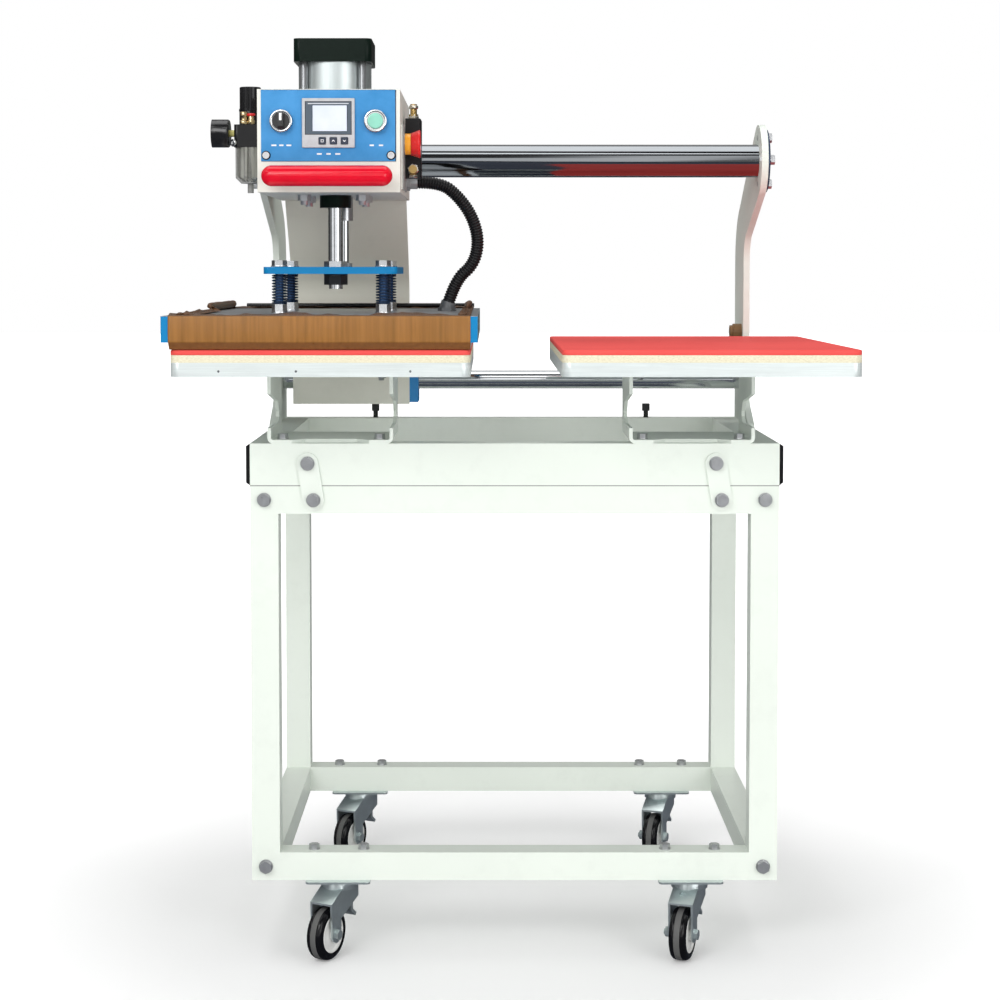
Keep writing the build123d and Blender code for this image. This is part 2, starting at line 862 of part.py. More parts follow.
# Head case: a sheet box with a thick floor, open for what passes through its walls
side_strip_front = stop_y - stop_collar_diameter / 2 - side_strip_margin
side_strip_back = press_y + valve_width / 2 + side_strip_margin
with BuildPart() as head_case:
    block((head_left_x, head_front_y, z_head), (head_right_x, head_back_y, z_head_top))
    block(
        (head_left_x + head_sheet, head_front_y + head_sheet, z_head_floor),
        (head_right_x - head_sheet, head_back_y - head_sheet, z_head_top - head_sheet),
        mode=Mode.SUBTRACT,
    )
    block(
        (head_right_x, side_strip_front, z_head + side_strip_rise),
        (head_right_x + side_strip_thick, side_strip_back, z_head + side_strip_rise + side_strip_height),
    )
    barrel_outer = bore_diameter + 2 * barrel_wall
    rod((left_x, press_y, z_head_top), DOWN, barrel_outer + 2 * hole_gap, head_sheet, mode=Mode.SUBTRACT)
    rod((left_x, press_y, z_head), UP, nose_diameter + 2 * hole_gap, head_floor, mode=Mode.SUBTRACT)
    for x, y in tie_spots:
        rod((x, y, z_head), UP, tie_rod_diameter + 2 * hole_gap, head_height, mode=Mode.SUBTRACT)
    bush_spot = (left_x + guide_rod_x, guide_rod_y, z_head)
    rod(bush_spot, UP, guide_bush_diameter + 2 * run_gap, head_floor, mode=Mode.SUBTRACT)
    rod(
        (head_left_x, beam_y, z_beam),
        RIGHT,
        beam_diameter + 2 * bearing_hole_margin,
        head_width,
        mode=Mode.SUBTRACT,
    )
    for x in (knob_x, button_x):
        rod(
            (x, head_front_y, z_controls),
            BACK,
            bezel_body_diameter + 2 * run_gap,
            head_sheet,
            mode=Mode.SUBTRACT,
        )
    block(
        (left_x - controller_body_width / 2, head_front_y, z_controller - controller_body_height / 2),
        (
            left_x + controller_body_width / 2,
            head_front_y + head_sheet,
            z_controller + controller_body_height / 2,
        ),
        mode=Mode.SUBTRACT,
    )
    for x in panel_screws:
        rod(
            (x, head_front_y, z_panel + panel_screw_rise),
            BACK,
            panel_screw_shank + 2 * hole_gap,
            head_sheet,
            mode=Mode.SUBTRACT,
        )
    stop_start = (head_right_x - head_sheet, stop_y, z_stop)
    rod(
        stop_start,
        RIGHT,
        stop_body_diameter + 2 * run_gap,
        head_sheet + side_strip_thick,
        mode=Mode.SUBTRACT,
    )
finish(head_case, "head_case")

with BuildPart() as control_panel:
    block(
        (left_x - panel_width / 2, panel_front_y, z_panel),
        (left_x + panel_width / 2, head_front_y, z_panel + panel_height),
    )
    for x in (knob_x, button_x):
        rod(
            (x, panel_front_y, z_controls),
            BACK,
            bezel_body_diameter + 2 * run_gap,
            panel_thick,
            mode=Mode.SUBTRACT,
        )
    block(
        (left_x - controller_body_width / 2, panel_front_y, z_controller - controller_body_height / 2),
        (left_x + controller_body_width / 2, head_front_y, z_controller + controller_body_height / 2),
        mode=Mode.SUBTRACT,
    )
    for x in panel_screws:
        rod(
            (x, panel_front_y, z_panel + panel_screw_rise),
            BACK,
            panel_screw_shank + 2 * hole_gap,
            panel_thick,
            mode=Mode.SUBTRACT,
        )
finish(control_panel, "control_panel")

# Red handle across the front of the head, on two posts
handle_y = head_front_y - handle_forward
with BuildPart() as head_handle:
    bar_half = (handle_length - handle_diameter) / 2
    rod((left_x - bar_half, handle_y, z_handle), RIGHT, handle_diameter, 2 * bar_half)
    with Locations((left_x - bar_half, handle_y, z_handle), (left_x + bar_half, handle_y, z_handle)):
        Sphere(handle_diameter / 2)
    for side in (-1, 1):
        post_x = left_x + side * handle_post_spread / 2
        rod((post_x, handle_y, z_handle), BACK, handle_post_diameter, handle_forward)
finish(head_handle, "head_handle")

# Controller with its bezel, screen recess and three key pockets
bezel_front_y = panel_front_y - controller_bezel
with BuildPart() as controller_case:
    block(
        (left_x - controller_width / 2, bezel_front_y, z_controller - controller_height / 2),
        (left_x + controller_width / 2, panel_front_y, z_controller + controller_height / 2),
    )
    block(
        (left_x - controller_body_width / 2, panel_front_y, z_controller - controller_body_height / 2),
        (
            left_x + controller_body_width / 2,
            panel_front_y + controller_body_depth,
            z_controller + controller_body_height / 2,
        ),
    )
    block(
        (
            left_x + screen_shift - screen_width / 2,
            bezel_front_y,
            z_controller + screen_rise - screen_height / 2,
        ),
        (
            left_x + screen_shift + screen_width / 2,
            bezel_front_y + screen_sink,
            z_controller + screen_rise + screen_height / 2,
        ),
        mode=Mode.SUBTRACT,
    )
    pocket_half = key_size / 2 + body_gap
    for x in key_spots.values():
        block(
            (x - pocket_half, bezel_front_y, z_controller - key_drop - pocket_half),
            (
                x + pocket_half,
                bezel_front_y + key_depth + key_travel + body_gap,
                z_controller - key_drop + pocket_half,
            ),
            mode=Mode.SUBTRACT,
        )
finish(controller_case, "controller_case")

for key_name, x in key_spots.items():
    with BuildPart() as controller_key:
        block(
            (x - key_size / 2, bezel_front_y - key_proud, z_controller - key_drop - key_size / 2),
            (x + key_size / 2, bezel_front_y + key_depth, z_controller - key_drop + key_size / 2),
        )
        front_edges = controller_key.faces().sort_by(Axis.Y)[0].edges()
        chamfer(front_edges, key_proud / 2)
    finish(controller_key, key_name)

# Chrome bezels of the knob and the button, and the yellow collar of the emergency stop
stop_face_x = head_right_x + side_strip_thick
collar_face_x = stop_face_x + stop_collar_thick
with BuildPart() as button_bases:
    for x, cap_diameter in ((knob_x, knob_diameter), (button_x, button_diameter)):
        face = (x, panel_front_y - bezel_thick, z_controls)
        rod(face, BACK, bezel_diameter, bezel_thick)
        rod((x, panel_front_y, z_controls), BACK, bezel_body_diameter, bezel_body_length)
        rod(face, BACK, cap_diameter + 2 * body_gap, bezel_recess, mode=Mode.SUBTRACT)
        stem_room = bezel_recess + stem_length + button_travel + 2 * body_gap
        rod(face, BACK, stem_diameter + 2 * run_gap, stem_room, mode=Mode.SUBTRACT)
    rod((stop_face_x, stop_y, z_stop), RIGHT, stop_collar_diameter, stop_collar_thick)
    rod((stop_face_x, stop_y, z_stop), LEFT, stop_body_diameter, stop_body_length)
    stop_room = stop_collar_thick + stem_length + stop_travel + body_gap
    stem_bore = stop_stem_diameter + 2 * run_gap
    rod((collar_face_x, stop_y, z_stop), LEFT, stem_bore, stop_room, mode=Mode.SUBTRACT)
finish(button_bases, "button_bases")

bezel_face_y = panel_front_y - bezel_thick
recess_floor_y = bezel_face_y + bezel_recess
with BuildPart() as selector_knob:
    knob_back_y = recess_floor_y - body_gap
    rod((knob_x, knob_back_y, z_controls), FRONT, knob_diameter, knob_thick)
    knob_front_y = knob_back_y - knob_thick
    block(
        (knob_x - knob_bar_width / 2, knob_front_y - knob_bar_height, z_controls - knob_bar_length / 2),
        (knob_x + knob_bar_width / 2, knob_front_y, z_controls + knob_bar_length / 2),
    )
    fillet(selector_knob.faces().sort_by(Axis.Y)[0].edges().filter_by(Axis.X), knob_bar_width / 2)
    rod((knob_x, knob_back_y, z_controls), BACK, stem_diameter, stem_length)
finish(selector_knob, "selector_knob")

with BuildPart() as green_button:
    cap_back_y = recess_floor_y - button_travel - body_gap
    cap_thick = cap_back_y - bezel_face_y + button_proud
    rod((button_x, cap_back_y, z_controls), FRONT, button_diameter, cap_thick)
    fillet(green_button.faces().sort_by(Axis.Y)[0].edges(), button_proud / 2)
    rod((button_x, cap_back_y, z_controls), BACK, stem_diameter, stem_length)
finish(green_button, "green_button")

with BuildPart() as stop_button:
    cap_x = collar_face_x + body_gap
    rod((cap_x, stop_y, z_stop), RIGHT, stop_head_diameter, stop_head_thick)
    fillet(stop_button.faces().sort_by(Axis.X)[-1].edges(), stop_head_thick / 2)
    collar_room = stop_collar_diameter + 2 * hole_gap
    rod((cap_x, stop_y, z_stop), RIGHT, collar_room, stop_travel + 2 * body_gap, mode=Mode.SUBTRACT)
    stem_reach = stop_travel + 2 * body_gap
    rod(
        (cap_x + stem_reach, stop_y, z_stop),
        LEFT,
        stop_stem_diameter,
        stem_reach + stop_collar_thick + stem_length - body_gap,
    )
finish(stop_button, "stop_button")

# Cylinder: lower cover with its nose through the floor, barrel, top cap
with BuildPart() as cylinder_heads:
    for z, height in ((z_head_floor, lower_cover_height), (z_barrel_top, cylinder_cap_height)):
        with BuildSketch(Plane.XY.offset(z)):
            with Locations((left_x, press_y)):
                RectangleRounded(cylinder_square, cylinder_square, cylinder_corner)
        extrude(amount=height)
    rod((left_x, press_y, z_head_floor), DOWN, nose_diameter, head_floor + nose_length)
    rod(
        (left_x, press_y, z_head - nose_length),
        UP,
        rod_diameter + 2 * run_gap,
        nose_length + head_floor + lower_cover_height,
        mode=Mode.SUBTRACT,
    )
    for x, y in tie_spots:
        tie_hole = tie_rod_diameter + 2 * run_gap
        tie_reach = lower_cover_height + barrel_length + tie_rod_grip
        rod((x, y, z_head_floor), UP, tie_hole, tie_reach, mode=Mode.SUBTRACT)
finish(cylinder_heads, "cylinder_heads")

with BuildPart() as cylinder_barrel:
    rod((left_x, press_y, z_barrel), UP, bore_diameter + 2 * barrel_wall, barrel_length)
    rod((left_x, press_y, z_barrel), UP, bore_diameter, barrel_length, mode=Mode.SUBTRACT)
finish(cylinder_barrel, "cylinder_barrel")

# Tie rods with their nuts under the floor, and the panel screws
with BuildPart() as carriage_fasteners:
    for x, y in tie_spots:
        tie_low = z_head - tie_nut_height - tie_rod_tail
        rod((x, y, tie_low), UP, tie_rod_diameter, z_barrel_top + tie_rod_grip - tie_low)
        hexagon((x, y, z_head), DOWN, tie_nut_flats, tie_nut_height)
    for x in panel_screws:
        seat = (x, panel_front_y, z_panel + panel_screw_rise)
        rod(seat, FRONT, panel_screw_diameter, panel_screw_head)
        socket = step(seat, FRONT, panel_screw_head)
        hexagon(socket, BACK, panel_screw_shank, panel_screw_head / 2, mode=Mode.SUBTRACT)
        rod(seat, BACK, panel_screw_shank, panel_thick + 2 * head_sheet)
finish(carriage_fasteners, "carriage_fasteners")

# Beam bearings on the walls, guide rod bush in the floor, lower guide block behind the back plate
block_left = left_x - back_plate_width / 2
block_right = left_x + back_plate_width / 2 + guide_tab_thick
with BuildPart() as carriage_bearings:
    for side in (-1, 1):
        wall = (left_x + side * (head_width / 2 - head_sheet), beam_y, z_beam)
        with BuildSketch(Plane(origin=wall, x_dir=BACK, z_dir=(-side, 0, 0))):
            RectangleRounded(bearing_flange, bearing_flange, cylinder_corner)
        extrude(amount=bearing_flange_thick)
        rod(wall, (-side, 0, 0), bearing_diameter, bearing_length)
    rod(
        (head_left_x, beam_y, z_beam),
        RIGHT,
        beam_diameter + 2 * run_gap,
        head_width,
        mode=Mode.SUBTRACT,
    )
    bush_low = z_head - guide_bush_drop
    bush_length = guide_bush_drop + head_floor + guide_bush_flange_thick
    rod((bush_spot[0], bush_spot[1], bush_low), UP, guide_bush_diameter, bush_length)
    rod((bush_spot[0], bush_spot[1], z_head_floor), UP, guide_bush_flange, guide_bush_flange_thick)
    bush_bore = guide_rod_diameter + 2 * run_gap
    rod((bush_spot[0], bush_spot[1], bush_low), UP, bush_bore, bush_length, mode=Mode.SUBTRACT)
    block(
        (block_left, back_plate_y + back_plate_thick, z_guide - guide_block_height / 2),
        (
            block_right,
            back_plate_y + back_plate_thick + guide_block_depth,
            z_guide + guide_block_height / 2,
        ),
    )
    block(
        (block_right - guide_tab_thick, back_plate_y, z_guide - guide_block_height / 2),
        (block_right, back_plate_y + back_plate_thick, z_guide + guide_block_height / 2),
    )
    rod(
        (block_left, guide_y, z_guide),
        RIGHT,
        guide_shaft_diameter + 2 * run_gap,
        block_right - block_left,
        mode=Mode.SUBTRACT,
    )
finish(carriage_bearings, "carriage_bearings")

# Back plate: one folded sheet from the rear of the head down to the lower guide
with BuildPart() as back_plate:
    half_sheet = back_plate_thick / 2
    with BuildSketch(Plane.YZ.offset(left_x - back_plate_width / 2)):
        with BuildLine():
            FilletPolyline(
                (head_back_y + half_sheet, z_head_top - head_sheet),
                (head_back_y + half_sheet, z_head),
                (back_plate_y + half_sheet, z_deck + back_plate_knee_rise),
                (back_plate_y + half_sheet, z_deck + back_plate_low_rise),
                radius=back_plate_bend,
            )
        trace(line_width=back_plate_thick)
    extrude(amount=back_plate_width)
finish(back_plate, "back_plate")

# Air valve on the side strip, and the power connector below it
valve_x = stop_face_x
with BuildPart() as valve_body:
    block(
        (valve_x, press_y - valve_width / 2, z_head + valve_rise),
        (valve_x + valve_thick, press_y + valve_width / 2, z_head + valve_rise + valve_height),
    )
    chamfer(valve_body.faces().sort_by(Axis.X)[-1].edges(), valve_chamfer)
    valve_low = z_head + valve_rise
    valve_face_x = valve_x + valve_thick
    for y in (press_y - valve_width / 4, press_y + valve_width / 4):
        for z in (valve_low + valve_screw_inset, valve_low + valve_height - valve_screw_inset):
            rod((valve_face_x, y, z), LEFT, valve_screw_diameter, valve_screw_sink, mode=Mode.SUBTRACT)
finish(valve_body, "valve_body")

connector_spot = (head_right_x, hose_y, z_hose)
with BuildPart() as hose_connector:
    hexagon(connector_spot, RIGHT, connector_flats, connector_nut)
    rod(connector_spot, RIGHT, connector_diameter, connector_length)
    rod(connector_spot, RIGHT, hose_bore, connector_length, mode=Mode.SUBTRACT)
finish(hose_connector, "hose_connector")

# Filter regulator: body, neck, clear bowl, gauge and pressure knob
regulator_x = head_left_x - regulator_gap - regulator_width / 2
z_regulator_top = z_regulator + regulator_height
z_gauge = z_regulator + gauge_rise
with BuildPart() as regulator_body:
    with BuildSketch(Plane.XY.offset(z_regulator)):
        with Locations((regulator_x, regulator_y)):
            RectangleRounded(regulator_width, regulator_depth, regulator_corner)
    extrude(amount=regulator_height)
    rod((regulator_x, regulator_y, z_regulator_top), UP, regulator_neck_diameter, regulator_neck_height)
    z_neck_top = z_regulator_top + regulator_neck_height
    rod((regulator_x, regulator_y, z_neck_top), UP, knob_post_diameter, knob_post_height)
    port_face = (regulator_x, regulator_y + regulator_depth / 2, z_gauge)
    rod(port_face, FRONT, port_diameter, port_depth, mode=Mode.SUBTRACT)
finish(regulator_body, "regulator_body")

# The bowl hangs below the body: its outside, then the room inside it
z_bowl = z_regulator - bowl_height
bowl_spot = (regulator_x, regulator_y, z_bowl)
bowl_inner = bowl_diameter / 2 - bowl_wall
with BuildPart() as regulator_bowl:
    bowl_outline = [
        (0, -drain_height),
        (drain_diameter / 2, -drain_height),
        (drain_diameter / 2, 0),
        (bowl_diameter / 2 - bowl_dome, 0),
        (bowl_diameter / 2, bowl_dome),
        (bowl_diameter / 2, bowl_height),
        (0, bowl_height),
    ]
    turned(bowl_spot, UP, bowl_outline)
    bowl_room = [
        (0, bowl_wall),
        (bowl_inner - bowl_dome, bowl_wall),
        (bowl_inner, bowl_wall + bowl_dome),
        (bowl_inner, bowl_height),
        (0, bowl_height),
    ]
    turned(bowl_spot, UP, bowl_room, mode=Mode.SUBTRACT)
finish(regulator_bowl, "regulator_bowl")

gauge_face_x = regulator_x - regulator_width / 2 - gauge_stem_length - gauge_thick
gauge_spot = (gauge_face_x, regulator_y, z_gauge)
with BuildPart() as pressure_gauge:
    rod(gauge_spot, RIGHT, gauge_diameter, gauge_thick)
    fillet(pressure_gauge.faces().sort_by(Axis.X)[-1].edges(), gauge_round)
    rod(gauge_spot, RIGHT, gauge_diameter - 2 * gauge_rim, gauge_sink, mode=Mode.SUBTRACT)
    dial_x = gauge_face_x + gauge_sink
    with BuildSketch(Plane(origin=(dial_x, regulator_y, z_gauge), x_dir=BACK, z_dir=LEFT)):
        with Locations(Location((0, 0, 0), -gauge_needle_turn)):
            with Locations((0, gauge_needle_length / 2 - gauge_needle_tail)):
                Rectangle(gauge_needle_width, gauge_needle_length)
        Circle(gauge_hub_diameter / 2)
    extrude(amount=gauge_needle_thick)
finish(pressure_gauge, "pressure_gauge")

# Brass fittings: gauge stem, nipple to the head, silencer and elbow of the valve
nipple_start = regulator_x + regulator_width / 2
silencer_x = valve_x + valve_thick / 2
z_valve_top = z_head + valve_rise + valve_height
valve_front_y = press_y - valve_width / 2
with BuildPart() as brass_fittings:
    stem_start = (gauge_face_x + gauge_thick, regulator_y, z_gauge)
    rod(stem_start, RIGHT, gauge_stem_diameter, gauge_stem_length)
    rod((nipple_start, regulator_y, z_gauge), RIGHT, nipple_diameter, regulator_gap)
    hexagon((silencer_x, press_y, z_valve_top), UP, silencer_diameter, silencer_nut)
    rod((silencer_x, press_y, z_valve_top), UP, silencer_body_diameter, silencer_length)
    elbow_spot = (silencer_x, valve_front_y, z_head + valve_rise + elbow_diameter)
    rod(elbow_spot, FRONT, elbow_diameter, elbow_length)
    elbow_end = step(elbow_spot, FRONT, elbow_length - elbow_diameter / 2)
    rod(elbow_end, DOWN, elbow_drop_diameter, elbow_length)
finish(brass_fittings, "brass_fittings")

with BuildPart() as regulator_knob:
    ring_low = z_regulator_top + regulator_neck_height + body_gap
    knob_low = ring_low + bonnet_ring_height
    rod((regulator_x, regulator_y, ring_low), UP, dial_ring_diameter, bonnet_ring_height)
    rod((regulator_x, regulator_y, knob_low), UP, dial_knob_diameter, dial_knob_height)
    chamfer(regulator_knob.faces().sort_by(Axis.Z)[-1].edges(), dial_groove_depth)
    with BuildSketch(Plane.XY.offset(knob_low)):
        with Locations((regulator_x, regulator_y)):
            with PolarLocations(dial_knob_diameter / 2, dial_grooves):
                Circle(dial_groove_depth)
    extrude(amount=dial_knob_height, mode=Mode.SUBTRACT)
    post_room = knob_post_diameter + 2 * run_gap
    post_depth = knob_post_height + body_gap
    rod((regulator_x, regulator_y, ring_low), UP, post_room, post_depth, mode=Mode.SUBTRACT)
finish(regulator_knob, "regulator_knob")

# Piston, rods and spring plate
piston_low = z_barrel + piston_lift
z_top_nut = z_spring_top + rod_top_nut
z_plate_washer = z_spring_plate - rod_washer_thick
rod_low_end = z_plate_washer - rod_low_nut - rod_tail
with BuildPart() as press_rods:
    rod((left_x, press_y, piston_low), UP, bore_diameter - 2 * run_gap, piston_thick)
    rod((left_x, press_y, z_top_nut), UP, rod_diameter, piston_low - z_top_nut)
    rod((left_x, press_y, rod_low_end), UP, rod_thread_diameter, z_top_nut - rod_low_end)
    guide_top = z_head_floor + guide_bush_flange_thick
    guide_low = (left_x + guide_rod_x, guide_rod_y, z_spring_plate)
    rod(guide_low, UP, guide_rod_diameter, guide_top - z_spring_plate)
finish(press_rods, "press_rods")

with BuildPart() as rod_nuts:
    hexagon((left_x, press_y, z_spring_top), UP, rod_nut_flats, rod_top_nut)
    rod((left_x, press_y, z_plate_washer), UP, rod_washer_diameter, rod_washer_thick)
    hexagon((left_x, press_y, z_plate_washer), DOWN, rod_nut_flats, rod_low_nut)
    rod((left_x, press_y, rod_low_end), UP, rod_thread_diameter, z_top_nut - rod_low_end, mode=Mode.SUBTRACT)
    guide_seat = (left_x + guide_rod_x, guide_rod_y, z_spring_top)
    hexagon(guide_seat, UP, guide_nut_flats, guide_nut_height)
    rod(guide_seat, UP, guide_rod_diameter, guide_nut_height, mode=Mode.SUBTRACT)
finish(rod_nuts, "rod_nuts")

with BuildPart() as spring_plate:
    with BuildSketch(Plane.XY.offset(z_spring_plate)):
        with Locations((left_x, press_y)):
            RectangleRounded(spring_plate_width, spring_plate_depth, spring_plate_corner)
            Circle(rod_thread_diameter / 2, mode=Mode.SUBTRACT)
        with Locations((left_x + guide_rod_x, guide_rod_y)):
            Circle(guide_rod_diameter / 2, mode=Mode.SUBTRACT)
        with Locations(*post_spots):
            Circle(post_diameter / 2 + hole_gap, mode=Mode.SUBTRACT)
    extrude(amount=spring_plate_thick)
finish(spring_plate, "spring_plate")

# Heated platen: plate with its heating slab on top, steel cover, cloth, bolts
with BuildPart() as heater_plate:
    block(
        (left_x - platen_width / 2, press_y - platen_depth / 2, z_heater),
        (left_x + platen_width / 2, press_y + platen_depth / 2, z_heater + heater_thick),
    )
    z_slab = z_heater + heater_thick
    slab_x = platen_width / 2 - slab_inset
    slab_y = platen_depth / 2 - slab_inset
    z_slab_top = z_cover_top - cover_sheet
    block((left_x - slab_x, press_y - slab_y, z_slab), (left_x + slab_x, press_y + slab_y, z_slab_top))
    for x, y in post_spots:
        rod((x, y, z_slab - post_grip), UP, post_diameter, z_cover_top, mode=Mode.SUBTRACT)
finish(heater_plate, "heater_plate")

with BuildPart() as platen_cover:
    block(
        (left_x - cover_width / 2, press_y - cover_depth / 2, z_cover),
        (left_x + cover_width / 2, press_y + cover_depth / 2, z_cover_top),
    )
    fillet(platen_cover.edges().filter_by(Axis.Z), cover_corner)
    room_x = cover_width / 2 - cover_sheet
    room_y = cover_depth / 2 - cover_sheet
    block(
        (left_x - room_x, press_y - room_y, z_cover),
        (left_x + room_x, press_y + room_y, z_cover_top - cover_sheet),
        mode=Mode.SUBTRACT,
    )
    for x, y in post_spots:
        rod((x, y, z_cover), UP, post_diameter, cover_height, mode=Mode.SUBTRACT)
finish(platen_cover, "platen_cover")

# Cloth wrapped round the heated platen, folded over on top, with its rolled edges and a rod behind
cover_front = -cover_depth / 2
cloth_out = cover_front - cloth_thick
with BuildPart() as cloth_cover:
    with BuildSketch(Plane.YZ.offset(left_x - cloth_width / 2)):
        with BuildLine():
            Polyline(
                (press_y + cover_front + cloth_hem, z_cover_top + cloth_thick),
                (press_y + cloth_out, z_cover_top + cloth_thick),
                (press_y + cloth_out, z_cover),
                (press_y - platen_depth / 2, z_cloth),
                (press_y + platen_depth / 2, z_cloth),
                (press_y - cloth_out, z_cover),
                (press_y - cloth_out, z_cover_top + cloth_thick),
                (press_y - cover_front - cloth_hem, z_cover_top + cloth_thick),
                (press_y - cover_front - cloth_hem, z_cover_top),
                (press_y - cover_front, z_cover_top),
                (press_y - cover_front, z_cover),
                (press_y + platen_depth / 2, z_heater),
                (press_y - platen_depth / 2, z_heater),
                (press_y + cover_front, z_cover),
                (press_y + cover_front, z_cover_top),
                (press_y + cover_front + cloth_hem, z_cover_top),
                close=True,
            )
        make_face()
    extrude(amount=cloth_width)
    block(
        (left_x - cloth_width / 2, press_y + cover_front, z_cover_top),
        (left_x - cloth_width / 2 + cloth_side, press_y - cover_front, z_cover_top + cloth_thick),
    )
    block(
        (left_x + cloth_width / 2 - cloth_side_right, press_y + cover_front, z_cover_top),
        (left_x + cloth_width / 2, press_y - cover_front, z_cover_top + cloth_thick),
    )
    roll_z = z_cover_top + cloth_roll_diameter / 2
    roll_length = cover_depth / 2 - cloth_hem
    for roll_x in (
        left_x - cloth_width / 2 + cloth_side - cloth_roll_diameter / 2,
        left_x + cloth_width / 2 - cloth_side_right + cloth_roll_diameter / 2,
    ):
        rod((roll_x, press_y, roll_z), BACK, cloth_roll_diameter, roll_length)
    rear_rod = (
        left_x - cloth_width / 2 + cloth_side,
        press_y - cover_front - cloth_hem / 2,
        z_cover_top + cloth_thick + cloth_rod_diameter / 2 - cloth_rod_sink,
    )
    rod(rear_rod, RIGHT, cloth_rod_diameter, cloth_width - cloth_side)
finish(cloth_cover, "cloth_cover")

# Bolts that hang the heated platen from the spring plate, and the springs between
bolt_seat = z_spring_top + seal_gap + post_washer_thick
z_post_washer = z_cover_top
z_post_nut = z_post_washer + post_washer_thick
z_spring_seat = z_post_nut + post_nut
with BuildPart() as spring_bolts:
    for x, y in post_spots:
        hexagon((x, y, bolt_seat), UP, post_flats, post_head)
        rod((x, y, bolt_seat), DOWN, post_washer_diameter, post_washer_thick)
        rod((x, y, bolt_seat), DOWN, post_diameter, bolt_seat - z_slab + post_grip)
        rod((x, y, z_post_washer), UP, post_washer_diameter, post_washer_thick)
        hexagon((x, y, z_post_nut), UP, post_flats, post_nut)
finish(spring_bolts, "spring_bolts")


def coil(x, y, low, high, diameter, wire, turns):
    """An unbroken coil of wire, two tangent arcs for each half turn, and its least gap to itself."""
    radius = (diameter - wire) / 2
    rise = (high - low - wire) / (2 * turns)
    slope = rise / (math.pi * radius)
    with BuildLine() as path:
        for half in range(2 * turns):
            side = 1 if half % 2 == 0 else -1
            start = Vector(x + side * radius, y, low + wire / 2 + half * rise)
            end = Vector(x - side * radius, y, low + wire / 2 + (half + 1) * rise)
            leave = Vector(0, side, slope).normalized()
            arrive = Vector(0, -side, slope).normalized()
            chord = end - start
            turned_part = 2 * (1 - leave.dot(arrive))
            pull = chord.dot(leave + arrive)
            reach = (math.sqrt(pull**2 + turned_part * chord.dot(chord)) - pull) / turned_part
            first = start + leave * reach
            second = end - arrive * reach
            joint = (first + second) * 0.5
            TangentArc(start, joint, tangent=leave)
            TangentArc(joint, end, tangent=second - first)
    with BuildSketch(Plane(origin=path.line @ 0, z_dir=path.line % 0)) as section:
        Circle(wire / 2)
    sweep(section.sketch, path=path.line)
    samples = [path.wire().position_at(i / (turns * coil_samples)) for i in range(turns * coil_samples + 1)]
    gaps = [
        (later - earlier).length - wire
        for i, earlier in enumerate(samples)
        for later in samples[i + coil_samples // 2 :]
    ]
    return min(gaps)


spring_top = z_spring_plate - seal_gap
with BuildPart() as platen_springs:
    for x, y in post_spots:
        coil_gap = coil(x, y, z_spring_seat, spring_top, spring_diameter, spring_wire, spring_turns)
        print("least gap of the spring to itself", round(coil_gap, 3))
finish(platen_springs, "platen_springs")

# Power hose from the head to the heated platen, and the gland it enters
lean = math.radians(gland_lean)
gland_axis = (math.sin(lean), 0, math.cos(lean))
gland_seat = (left_x + gland_shift, hose_y, z_cover_top + gland_base)
hose_in = (head_right_x + connector_length, hose_y, z_hose)
hose_out = step(gland_seat, gland_axis, gland_height)
with BuildPart() as hose_gland:
    hexagon((gland_seat[0], hose_y, z_cover_top), UP, gland_flats, gland_base)
    rod(step(gland_seat, gland_axis, -gland_base), gland_axis, gland_diameter, gland_height + gland_base)
    split(bisect_by=Plane.XY.offset(z_cover_top), keep=Keep.TOP)
    rod(gland_seat, gland_axis, hose_bore, gland_height, mode=Mode.SUBTRACT)
finish(hose_gland, "hose_gland")

hose_route = [
    hose_in,
    step(hose_in, RIGHT, hose_end_run),
    *[(hose_in[0] + out, hose_y, z_hose - down) for out, down in hose_bends],
    step(hose_out, gland_axis, hose_end_run),
    hose_out,
]
hose_radii = []
for before, corner, after in zip(hose_route, hose_route[1:], hose_route[2:]):
    run_in = Vector(*corner) - Vector(*before)
    run_out = Vector(*after) - Vector(*corner)
    turn = run_in.get_angle(run_out)
    shorter = min(run_in.length, run_out.length)
    hose_radii.append(0.45 * shorter / math.tan(math.radians(turn / 2)))
print("hose radii", [round(radius, 1) for radius in hose_radii])

with BuildPart() as power_hose:
    with BuildLine() as hose_line:
        FilletPolyline(*hose_route, radius=hose_radii)
    hose_path = hose_line.wire()
    hose_length = hose_path.length
    ribs = round(hose_length / hose_rib_pitch)
    rings = []
    for rib in range(ribs):
        for share, sink in ((0, hose_rib_depth), (0.25, 0), (0.6, 0), (0.85, hose_rib_depth)):
            place = (rib + share) / ribs
            ring_plane = Plane(
                origin=hose_path.position_at(place),
                x_dir=BACK,
                z_dir=hose_path.tangent_at(place),
            )
            with BuildSketch(ring_plane) as ring:
                Circle(hose_diameter / 2 - sink)
            rings.append(ring.sketch.face())
    end_plane = Plane(origin=hose_out, x_dir=BACK, z_dir=hose_path.tangent_at(1))
    with BuildSketch(end_plane) as end_ring:
        Circle(hose_diameter / 2 - hose_rib_depth)
    rings.append(end_ring.sketch.face())
    loft(rings, ruled=True)
    start_plane = Plane(origin=hose_in, x_dir=BACK, z_dir=RIGHT)
    with BuildSketch(start_plane) as bore_ring:
        Circle(hose_bore / 2)
    sweep(bore_ring.sketch, path=hose_path, mode=Mode.SUBTRACT)
finish(power_hose, "power_hose")
print("hose length", round(hose_length, 1), "ribs", ribs)

